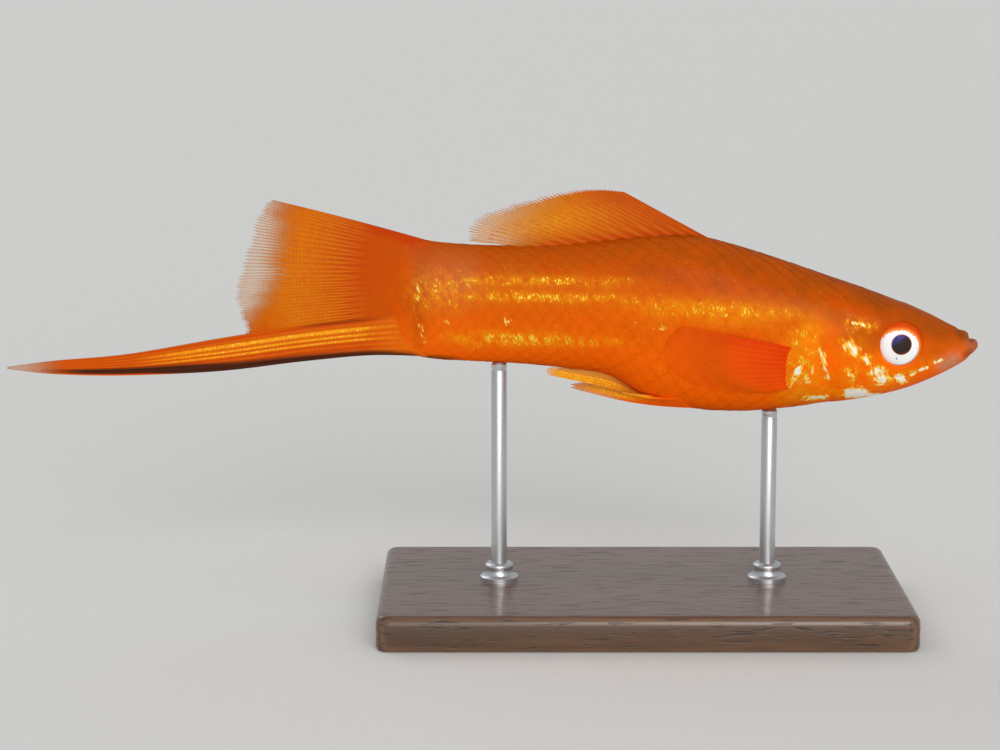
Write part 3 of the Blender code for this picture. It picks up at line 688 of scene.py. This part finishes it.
# The pupil's blue and red are painted reflections on its black.
PUPIL_BLACK, PUPIL_BLUE_REFLECTION, PUPIL_RED_REFLECTION = (0.036, 0.025, 0.022), (0.045, 0.038, 0.24), (0.22, 0.040, 0.012)
PUPIL_RIM = (0.45, 0.10, 0.03)
IRIS_SUNK, EYE_BACK = 0.05, 0.5
DOME_RINGS, BACK_RINGS, EYE_COLUMNS = 70, 20, 120

eye_finish, shader, place = new_finish("glass eye")
forward, upward, radius = three(place, "iris")


def distance_from(middle, squash=1.0):
    """Distance in the eye's own disc from a place in it, with heights stretched by squash."""
    off = forward.node("CombineXYZ", {"X": forward - middle[0], "Y": (upward - middle[1]) * squash})
    return off.node("VectorMath", {0: off}, 1, operation="LENGTH")


from_middle = distance_from(IRIS_MIDDLE, IRIS_SQUASH)
from_pupil = distance_from(PUPIL_MIDDLE)
spoke = forward.node("Math", {0: upward, 1: forward}, operation="ARCTAN2")
spokes = spoke.node("CombineXYZ", {"X": spoke * 13.0, "Y": radius * 0.8})
ragged = spokes.node("TexNoise", {"Vector": spokes, "Scale": 1.0, "Detail": 2.0})
streak = spokes.node("TexNoise", {"Vector": spokes, "Scale": 3.0, "Detail": 1.0})
band = soft_step(from_middle + (ragged - 0.5) * 0.58 * soft_step(upward, -0.6, 1.0), 2.20, 2.36)
colour = blend(soft_step(streak, 0.35, 0.8) * 0.25, IRIS_SILVER, IRIS_GREY)
low_edge = soft_step(from_middle, 2.06, 2.26) * (1 - soft_step(upward, -1.4, 0.2))
colour = blend(low_edge * 0.7, colour, IRIS_VIOLET)
outer = soft_step(from_middle + streak * 0.2, 2.45, 2.9)
colour = blend(band, colour, blend(outer, IRIS_ORANGE, IRIS_RED))
# Painted highlight: the ball's rim is lit orange along its upper side.
rim = soft_step(radius, 2.40, 2.47) * soft_step(upward, -1.5, 0.5)
colour = blend(rim * 0.6, colour, IRIS_RIM_HIGHLIGHT)
colour = blend(1 - soft_step(from_pupil, PUPIL + 0.02, PUPIL + 0.12), colour, PUPIL_RIM)
colour = blend(0.8 - soft_step(distance_from(SPECK), 0.07, 0.15) * 0.8, colour, IRIS_VIOLET)
# Painted reflections: the black pupil turns blue towards its top and back, and red towards its bottom and
# front.
pupil = blend(soft_step(upward * 0.8 - forward * 0.5, 0.3, 1.2), PUPIL_BLACK, PUPIL_BLUE_REFLECTION)
pupil = blend(soft_step(0 - upward * 0.9 + forward * 0.3, 0.55, 1.0), pupil, PUPIL_RED_REFLECTION)
colour = blend(1 - soft_step(from_pupil, PUPIL - 0.03, PUPIL + 0.03), colour, pupil)
plug(shader, Base_Color=colour, Roughness=0.4, IOR=1.12, Coat_Weight=0.10, Coat_Roughness=0.03)

edge = EYE_RADIUS - 0.01
across = np.linspace(0.02, 1.0, DOME_RINGS) * edge
dome = EYE_DEPTH * np.sqrt(1 - (across / EYE_RADIUS) ** 2)
dome -= IRIS_SUNK * smooth(across, PUPIL - 0.08, PUPIL + 0.5) * (1 - smooth(across, 1.9, 2.45))
behind = np.linspace(1.0, 0.02, BACK_RINGS) * edge
back = -EYE_BACK * np.sqrt(1 - (behind / EYE_RADIUS) ** 2)
ring_radius = np.concatenate([across, behind])[:, None]
ring_out = np.concatenate([dome, back])[:, None, None]
for label, side in SIDES:
    axis, centre = eye_axes(side)
    level = np.array((axis[1] * side, -axis[0] * side, 0.0))
    angle = np.arange(EYE_COLUMNS) / EYE_COLUMNS * 2 * np.pi * side
    forward, upward = ring_radius * np.cos(angle), ring_radius * np.sin(angle)
    grid = centre + ring_out * axis + forward[..., None] * level
    grid = grid + upward[..., None] * (0.0, 0.0, 1.0)
    fields = {"iris": add_poles(stacked(forward, upward, ring_radius))}
    faces = tube_faces(*forward.shape)
    eye = make_piece(f"glass_eye_{label}", add_poles(grid), faces, eye_finish, fields=fields)
    ride_as(eye, "eye", f"eye_{label}")


# The fins are thin clear sheets cast with their rays standing up on both faces, each ray forking
# towards its tip, and set by their roots in slots of the body.
RAY_FORK = (0.25, 0.125)
JOINT_LENGTH, RAY_WIDTH = 0.42, 0.2
FILM_SHARE = 0.82
FIN_FLESH, FIN_RED, FIN_GOLD = (0.56, 0.086, 0.001), (0.52, 0.034, 0.001), (0.98, 0.42, 0.010)
FIN_BLACK, FIN_CLEAR, FIN_SPARKLE = (0.020, 0.009, 0.005), (0.54, 0.36, 0.09), (1.0, 0.76, 0.24)


def fin_finish(name, film=FIN_FLESH, deep=FIN_RED, bare=FIN_CLEAR):
    """Orange film with lighter jointed rays. It reads how much of a ray a point is, how far out it
    is in millimetres and how clear, and how red, gold or black the film is there."""
    made, shader, place = new_finish(name)
    ray, along, clear = three(place, "web")
    red, gold, black = three(place, "tint")
    mottle = noise(place, 1.1, 3.0)
    grain = noise(place, 0.16, 2.0, (2.2, 1.0, 1.0))
    wave = along.node("Math", {0: along * (2 * math.pi / JOINT_LENGTH)}, operation="SINE")
    joint = soft_step(wave, 0.4, 1.0)
    colour = blend(red * (1.05 - ray * 0.45), film, deep)
    colour = blend(ray * 0.16 * (1 - red * 0.5), colour, FIN_GOLD)
    colour = blend(clear * (1 - ray * 0.8), colour, bare)
    colour = blend(gold * (0.6 + soft_step(grain, 0.35, 0.6) * 0.4), colour, FIN_GOLD)
    colour = blend(joint * ray * 0.30 + soft_step(mottle, 0.45, 0.8) * 0.22, colour, deep)
    colour = blend(black * soft_step(grain, 0.05, 0.26) * 0.93, colour, FIN_BLACK)
    sparkle = soft_step(grain, 0.58, 0.74) * soft_step(gold, 0.35, 0.8)
    colour = blend(sparkle * 0.8, colour, FIN_SPARKLE)
    plug(
        shader,
        Base_Color=colour,
        Roughness=0.42 - sparkle * 0.15,
        Alpha=1 - clear * (0.84 - ray * 0.26),
        IOR=1.10,
        Coat_Weight=0.03,
        Coat_Roughness=0.15,
        Normal=bump(joint * ray + grain, 0.015),
    )
    return made


def ray_grid(rows, steps, rays, forks=()):
    """Grids of u across the rays, in that many steps from ray to ray, v out along them in rows, and
    the ridge, 1 on a ray and 0 between two: past each fork a ray parts into two that draw away from
    each other until all stand evenly, and grow narrower."""
    u, v = np.meshgrid(np.linspace(0, 1, (rays - 1) * steps + 1), np.linspace(0, 1, rows))
    off = np.abs(u * (rays - 1) - np.round(u * (rays - 1)))
    narrow = 1.0
    for start, spread in zip(forks, RAY_FORK):
        parted = smooth(v, start, start + 0.25)
        off = np.abs(off - spread * parted)
        narrow = narrow * (1 - 0.45 * parted)
    return u, v, bell(off, RAY_WIDTH * narrow)


def upright_fin(root_x, root_z, margin, u, out):
    """The middle surface of a fin in the fish's middle plane: straight rays from the root towards a
    smooth line through the margin's places, each drawn to its share out."""
    tip_x, tip_z = np.moveaxis(spline(margin, u), -1, 0)
    return stacked(root_x + (tip_x - root_x) * out, 0.0, root_z + (tip_z - root_z) * out)


def fin_piece(name, node, finish, middle, half, ray, clear, red=0, gold=0, black=0, slot="fin"):
    """A closed sheet: its middle surface moved along its normal by half its thickness both ways, with
    a rim round the two faces. The values from ray to black are for its finish."""
    normal = np.cross(np.gradient(middle, axis=1), np.gradient(middle, axis=0))
    normal /= np.maximum(np.linalg.norm(normal, axis=-1, keepdims=True), 1e-12)
    size = half.size
    index = np.arange(size).reshape(half.shape)
    loop = np.concatenate([index[0, :-1], index[:-1, -1], index[-1, :0:-1], index[:0:-1, 0]])
    after = np.roll(loop, -1)
    front = quads(*half.shape)
    rim = stacked(after, loop, loop + size, after + size)
    points = np.stack([middle + normal * half[..., None], middle - normal * half[..., None]])
    web, tint = stacked(ray, reach_out(middle), clear), stacked(red + 0 * ray, gold, black)
    fields = {"web": np.stack([web, web]), "tint": np.stack([tint, tint])}
    made = make_piece(name, points, [front, front[:, ::-1] + size, rim], finish, fields=fields)
    ride_as(made, slot, node)


def reach_out(middle):
    """How far each point of a fin lies out from its root, along its own ray."""
    steps = np.linalg.norm(np.diff(middle, axis=0), axis=-1)
    return np.vstack([np.zeros(middle.shape[1]), np.cumsum(steps, axis=0)])


def fin_half(ridge, v, root, tip):
    """Half the thickness: a ray thins from root to tip, and the film beside it is a little thinner."""
    ray = root + (tip - root) * smooth(v, 0.0, 1.0)
    return 0.5 * ray * (FILM_SHARE + (1 - FILM_SHARE) * ridge)


fin_film = fin_finish("orange fin film")

# The dorsal fin is a low sail on the middle of the back. Towards its rear the film turns clear and
# its margin is frayed between the rays.
DORSAL_RAYS, DORSAL_FORKS = 14, (0.10, 0.55)
DORSAL_ROOT, DORSAL_SUNK = (25.2, 4.3), 0.35
DORSAL_MARGIN = (
    (14.6, 49.0), (11.4, 49.3), (7.9, 49.0), (4.0, 48.1), (0.6, 47.1), (-2.4, 45.7), (-2.9, 43.4),
)
u, v, ridge = ray_grid(100, 18, DORSAL_RAYS, DORSAL_FORKS)
uneven = 0.022 * np.sin(23 * u) * np.sin(61 * u)
short = 1 - ((0.02 + 0.14 * u) * (1 - ridge) + uneven * u) * smooth(v, 0.6, 1.0)
root_x = np.interp(u, (0, 1), DORSAL_ROOT)
middle = upright_fin(root_x, station_at(root_x)[..., 1] - DORSAL_SUNK, DORSAL_MARGIN, u, v * short)
middle[..., 1] += 0.22 * v**2 * np.sin(7 * u + 0.5) * u
clear = smooth(u * 0.75 + v * 0.5, 0.66, 1.15) * (1 - 0.45 * ridge)
red = np.maximum(0.35 * (1 - smooth(u, 0.1, 0.5)), 0.8 * (1 - smooth(v, 0.02, 0.28)) * (1 - 0.7 * u))
gold = 0.50 * smooth(u, 0.1, 0.7) * smooth(v, 0.1, 0.6)
half = fin_half(ridge, v, 0.85, 0.16)
fin_piece("dorsal_sheet", "dorsal_fin", fin_film, middle, half, ridge, clear, red, gold, 0.05 * v)

# The tail fin is a broad fan over the sword, red in the middle and along its top. Its film fades
# to clear before its rays end.
CAUDAL_RAYS, CAUDAL_FORKS = 17, (0.22, 0.60)
CAUDAL_ROOT_X, CAUDAL_ROOT_Z = -8.4, (43.7, 35.2)
CAUDAL_MARGIN = (
    (-25.2, 48.1), (-26.6, 46.3), (-27.7, 42.9), (-29.0, 38.9), (-29.2, 36.8), (-28.6, 34.6), (-28.0, 32.6),
)
CAUDAL_FILM_ENDS = ((0.0, 0.35, 0.6, 0.8, 1.0), (-23.0, -23.4, -24.4, -26.2, -28.5))
u, v, ridge = ray_grid(110, 16, CAUDAL_RAYS, CAUDAL_FORKS)
uneven = 0.010 * np.sin(31 * u) * np.sin(73 * u)
short = 1 - (0.03 * (1 - ridge) + uneven) * smooth(v, 0.7, 1.0)
ridge = ridge * smooth(v, 0.26, 0.46)
root_z = np.interp(u, (0, 1), CAUDAL_ROOT_Z)
middle = upright_fin(CAUDAL_ROOT_X, root_z, CAUDAL_MARGIN, u, v * short)
middle[..., 1] += 0.25 * v**2 * np.sin(6 * u + 1.0)
middle[..., 2] += 0.10 * np.sin(np.pi * v) * (1 - u) ** 2
x = middle[..., 0]
film_end = np.interp(u, *CAUDAL_FILM_ENDS) + 0.35 * np.sin(37 * u) * np.sin(11 * u)
clear = smooth(film_end - 1.1 * ridge - x, -1.6, 3.0)
dashes = 0.75 * (1 - ridge) * bell(x + 16.3, 2.3) * smooth(v, 0.26, 0.4)
red = np.maximum(tail_red(x, middle[..., 2]), dashes)
gold = np.maximum(0.30 * ridge * bell(x + 18.5, 3.5), 0.22 * bell(v - 0.66, 0.2)) * (1 - clear)
half = fin_half(ridge, v, 0.75, 0.14)
fin_piece("caudal_sheet", "caudal_fin", fin_film, middle, half, ridge, clear, red, gold)

# The sword is the lowest rays of the tail fin, grown long: an orange blade with gold streaks and a
# black stripe along its lower edge.
SWORD_RAYS = 8
SWORD_EDGES = (
    (-7.6, 35.4, 30.2), (-14.0, 34.6, 30.35), (-22.0, 33.65, 29.6), (-31.2, 32.2, 28.5),
    (-41.7, 30.4, 28.0), (-50.0, 29.65, 28.15), (-55.4, 28.95, 28.75),
)
# the place across the blade, width and strength of each gold streak
SWORD_STREAKS = ((0.27, 0.060, 1.0), (0.43, 0.036, 0.95), (0.56, 0.034, 0.8))
# the black stripe's two edges across the blade, at each x
STRIPE_UPPER = ((-42, -36, -29, -12, -8), (0.63, 0.67, 0.77, 0.89, 0.95))
STRIPE_LOWER = ((-50, -40, -31), (0.90, 0.93, 1.08))
SWORD_FLESH = (0.72, 0.125, 0.001)
u, v, ridge = ray_grid(300, 9, SWORD_RAYS)
edges = spline(SWORD_EDGES, v)
middle = stacked(edges[..., 0], 0.0, edges[..., 1] + (edges[..., 2] - edges[..., 1]) * u)
middle[..., 1] += 0.12 * np.sin(5 * v) * v
x = middle[..., 0]
ridge = ridge * (1 - smooth(x, -13, -9.5))
above, below = u - np.interp(x, *STRIPE_UPPER), u - np.interp(x, *STRIPE_LOWER)
stripe = smooth(above, -0.08, 0.08) * (1 - smooth(x, -9.5, -7.6))
stripe = stripe * (1 - smooth(below, -0.04, 0.04)) * smooth(x, -53.5, -46.0)
upper = 0.6 * (1 - smooth(u, 0.02, 0.09)) * smooth(x, -24, -19) * (1 - 0.7 * smooth(x, -16, -12))
streaks = sum(strength * bell(u - level, width) for level, width, strength in SWORD_STREAKS)
gold = streaks * smooth(x, -42, -34) * (0.3 + 0.7 * (1 - smooth(x, -15.5, -13)))
gold = gold * (1 - smooth(x, -13.5, -9.5))
clear = 0.8 * (1 - smooth(x, -54.5, -48.0))
red = 0.6 * (1 - smooth(x, -15, -10)) * (1 - gold)
black = np.maximum(stripe, upper)
half = fin_half(ridge, v, 0.9, 0.4)
sword_film = fin_finish("sword film", SWORD_FLESH)
fin_piece("sword_blade", "sword", sword_film, middle, half, ridge, clear, red, gold, black, "sword")

# The gonopodium is the male's anal fin. It lies back under the belly, its first rays grown into a
# thick rod with a small film beside it.
ANAL_RAYS = 9
ANAL_ROOT, ANAL_SUNK = (18.15, 14.75), 0.3
ANAL_MARGIN = ((6.3, 28.0), (6.0, 28.35), (6.6, 28.75), (8.4, 28.85), (10.6, 28.5))
AMBER_FLESH, AMBER_CLEAR = (0.62, 0.20, 0.014), (0.80, 0.50, 0.12)
u, v, ridge = ray_grid(90, 10, ANAL_RAYS)
short = 1 - 0.03 * u * (1 - ridge) * smooth(v, 0.6, 1.0)
root_x = np.interp(u, (0, 1), ANAL_ROOT)
middle = upright_fin(root_x, station_at(root_x)[..., 3] + ANAL_SUNK, ANAL_MARGIN, u, v * short)
under = station_at(middle[..., 0])[..., 3] + ANAL_SUNK - 0.22 * smooth(v, 0.0, 0.2)
middle[..., 2] += (under - middle[..., 2]) * u
rod = 1 - smooth(u, 0.30, 0.45)
clear = (1 - rod) * (0.12 + 0.15 * v) + 0.7 * smooth(v, 0.86, 1.0)
red, gold = 0.2 * (1 - v), (0.7 * rod + 0.3) * smooth(v, 0.1, 0.4)
half = fin_half(ridge, v, 0.9, 0.3) * (0.6 + 0.5 * rod)
amber_film = fin_finish("amber film", AMBER_FLESH, FIN_RED, AMBER_CLEAR)
fin_piece("gonopodium_sheet", "gonopodium", amber_film, middle, half, ridge, clear, red, gold)

# The pectoral fins are rooted behind the gill covers and lie back along the flanks. The pelvic fins
# are small and lie back under the belly.
PECTORAL_RAYS, PECTORAL_FORKS = 12, (0.35, 0.70)
PECTORAL_ROOT = ((34.3, 31.9), (33.5, 27.2))
PECTORAL_SUNK, PECTORAL_OFF = 0.50, 0.32
PECTORAL_MARGIN = ((21.1, 34.5), (19.4, 33.1), (19.1, 31.0), (20.2, 28.9), (23.1, 27.4), (27.2, 26.6))
PECTORAL_FLESH, PECTORAL_CLEAR = (0.90, 0.102, 0.002), (0.98, 0.16, 0.004)
PAIRED_RED = (0.74, 0.042, 0.001)
PELVIC_RAYS, PELVIC_FORKS = 6, (0.40, 0.74)
PELVIC_ROOT, PELVIC_SUNK = ((22.4, 1.2), (20.9, 2.1)), 0.2
PELVIC_MARGIN = (
    (8.5, 0.9, 26.75), (9.6, 0.95, 26.95), (11.0, 1.1, 27.0), (12.6, 1.4, 26.8), (14.4, 1.8, 26.3),
)
PELVIC_FLESH, PELVIC_CLEAR = (0.78, 0.104, 0.001), (0.86, 0.52, 0.12)

pectoral_film = fin_finish("pectoral film", PECTORAL_FLESH, PAIRED_RED, PECTORAL_CLEAR)
pelvic_film = fin_finish("pelvic film", PELVIC_FLESH, PAIRED_RED, PELVIC_CLEAR)


def belly_surface(x, y):
    """Height of the underside at each x and distance from the middle plane: the widest level less
    its height over the belly times (1 - s^f)^(1/f), s being the share of the half width."""
    _, top, _, bottom, half, level, _, full, _ = np.moveaxis(station_at(x), -1, 0)
    widest = bottom + (top - bottom) * level
    return widest - (widest - bottom) * (1 - np.clip(np.abs(y) / half, 0, 0.98) ** full) ** (1 / full)


def between(ends, share):
    """The straight blend of two rows of numbers at each share."""
    near, far = (np.asarray(end, float) for end in ends)
    return near + (far - near) * share[..., None]


for label, side in SIDES:
    u, v, ridge = ray_grid(80, 12, PECTORAL_RAYS, PECTORAL_FORKS)
    out = v * (1 - (0.02 + 0.03 * u) * (1 - ridge) * smooth(v, 0.7, 1.0))
    root = between(PECTORAL_ROOT, u)
    x, z = np.moveaxis(root + (spline(PECTORAL_MARGIN, u) - root) * out[..., None], -1, 0)
    off = PECTORAL_OFF * smooth(v, 0.0, 0.25) * (1 - 0.5 * smooth(v, 0.5, 1.0))
    off = off - PECTORAL_SUNK * (1 - smooth(v, 0.0, 0.25)) + 0.06 * v * v
    middle = stacked(x, side * (flank_y(x, z) + off), z)
    ridge = ridge * (0.34 - 0.08 * v)
    clear = smooth(v, 0.40, 0.90) * (1 - 0.3 * (1 - smooth(u, 0.0, 0.3)))
    red = np.maximum(1.15 - 1.3 * v - 0.35 * u, 0.85 * (1 - smooth(u, 0.05, 0.45))).clip(0, 1)
    half = fin_half(ridge, v, 0.6, 0.12)
    name, node = f"pectoral_sheet_{label}", f"pectoral_fin_{label}"
    fin_piece(name, node, pectoral_film, middle, half, ridge, clear, red)

    u, v, ridge = ray_grid(60, 12, PELVIC_RAYS, PELVIC_FORKS)
    root_x, root_y = np.moveaxis(between(PELVIC_ROOT, u) * (1, side), -1, 0)
    root = stacked(root_x, root_y, belly_surface(root_x, root_y) + PELVIC_SUNK)
    out = v * (1 - 0.03 * (1 - ridge) * smooth(v, 0.6, 1.0))
    middle = root + (spline(PELVIC_MARGIN, u) * (1, side, 1) - root) * out[..., None]
    middle[..., 2] -= 0.55 * np.sin(np.pi * v) * (1 - 0.6 * u)
    over = belly_surface(middle[..., 0], middle[..., 1]) + PELVIC_SUNK
    middle[..., 2] = np.minimum(middle[..., 2], over - 0.5 * smooth(v, 0.0, 0.3))
    clear = np.maximum(0.5 * smooth(v, 0.5, 1.0), 0.7 * bell(u, 0.13) * smooth(v, 0.45, 0.75))
    ray = ridge * smooth(v, 0.2, 0.5)
    gold = 0.8 * smooth(v, 0.35, 0.7) * smooth(u, 0.05, 0.3)
    half = fin_half(ridge, v, 0.7, 0.18)
    name, node = f"pelvic_sheet_{label}", f"pelvic_fin_{label}"
    fin_piece(name, node, pelvic_film, middle, half, ray, clear, 0, gold)


# The stand is a dark stained board with eased edges. Two turned steel rods stand in ferrules on it
# and carry the fish under its belly and its tail.
BASE_LONG, BASE_WIDE, BASE_HIGH = 60.0, 34.0, 4.0
BASE_MIDDLE, CORNER, CORNER_POINTS = 17.0, 1.6, 10
EDGE_PROFILE = np.array((
    (0.9, 0.0), (0.5, 0.0), (0.15, 0.12), (0.0, 0.45), (0.0, 3.0), (0.06, 3.35), (0.24, 3.72),
    (0.55, 3.94), (0.95, BASE_HIGH), (1.4, BASE_HIGH),
))
WOOD_DARK, WOOD_LIGHT, WOOD_PORE = (0.055, 0.026, 0.013), (0.20, 0.095, 0.045), (0.022, 0.011, 0.006)

wood, shader, place = new_finish("dark stained wood")
grain_place = place.node("Mapping", {"Vector": place, "Scale": (0.06, 1.0, 1.0)})
bend = noise(place, 14.0, 2.0, (3.3, 1.0, 1.0))
bands = bend.node(
    "TexWave",
    {"Vector": grain_place, "Scale": 420.0, "Distortion": 5.0, "Detail": 3.0, "Detail Scale": 1.2},
    1,
    wave_type="BANDS",
    bands_direction="Y",
)
pores = soft_step(noise(place, 0.30, 2.0, (12.0, 1.0, 1.0)), 0.56, 0.70)
colour = blend(bands * 0.55 + bend * 0.45, WOOD_DARK, WOOD_LIGHT)
colour = blend(pores * 0.7, colour, WOOD_PORE)
plug(
    shader,
    Base_Color=colour,
    Roughness=0.34 + pores * 0.2,
    Coat_Weight=0.35,
    Coat_Roughness=0.18,
    Normal=bump(1 - pores, 0.04),
)

quarter = np.repeat(range(4), CORNER_POINTS)
angle = (quarter + np.tile(np.linspace(0, 1, CORNER_POINTS), 4)) * np.pi / 2
to_corner = (quarter + 0.5) * np.pi / 2
corner_x, corner_y = np.sign(np.cos(to_corner)), np.sign(np.sin(to_corner))
inset, level = EDGE_PROFILE[:, :1], EDGE_PROFILE[:, 1:]
ring_x = corner_x * (BASE_LONG / 2 - CORNER) + (CORNER - inset) * np.cos(angle) + BASE_MIDDLE
ring_y = corner_y * (BASE_WIDE / 2 - CORNER) + (CORNER - inset) * np.sin(angle)
board = stacked(ring_x, ring_y, level)
base = make_piece("base_board", add_poles(board), tube_faces(*ring_x.shape), wood, sharp=40)
ride_as(base, "stand_wood", "stand_base")

ROD_PLACES = (("front", 31.5), ("rear", 0.6))
ROD_RADIUS, NECK_RADIUS, TIP_RADIUS, ROD_FOOT = 0.9, 0.84, 0.72, 5.6
FERRULE_PROFILE = (
    (2.2, BASE_HIGH), (2.2, 4.5), (2.1, 4.62), (1.75, 4.72), (1.62, 4.9), (1.6, 5.5), (1.66, 5.72),
    (1.6, 5.92), (1.35, 6.1), (0.98, 6.16), (0.92, 6.05),
)
TURN_STEPS = 64
STEEL_DARK, STEEL_LIGHT = (0.50, 0.51, 0.53), (0.68, 0.69, 0.70)

steel, shader, place = new_finish("brushed steel")
brushed = noise(place, 0.12, 2.0, (4.0, 4.0, 0.17))
plug(
    shader,
    Base_Color=blend(brushed, STEEL_DARK, STEEL_LIGHT),
    Metallic=1.0,
    Roughness=0.24 + brushed * 0.16,
    Normal=bump(brushed, 0.006),
)


def turned(name, profile, x):
    """A steel piece: a profile of radius and height carried round the upright at x."""
    radius, level = np.array(profile, float).T[..., None]
    angle = np.arange(TURN_STEPS) / TURN_STEPS * 2 * np.pi
    ring = stacked(x + radius * np.cos(angle), radius * np.sin(angle), level)
    return make_piece(name, add_poles(ring), tube_faces(*ring.shape[:2]), steel, sharp=35)


for label, x in ROD_PLACES:
    ferrule = turned(f"ferrule_{label}", FERRULE_PROFILE, x)
    ride_as(ferrule, "stand_steel", f"stand_ferrule_{label}")
    top = float(station_at(np.array(x))[3])
    rod_profile = (
        (ROD_RADIUS, ROD_FOOT), (ROD_RADIUS, top - 1.1), (NECK_RADIUS, top - 0.95),
        (NECK_RADIUS, top - 0.75), (ROD_RADIUS, top - 0.6), (ROD_RADIUS, top - 0.2),
        (TIP_RADIUS, top + 0.05),
    )
    rod = turned(f"rod_{label}", rod_profile, x)
    ride_as(rod, "stand_steel", f"stand_rod_{label}")
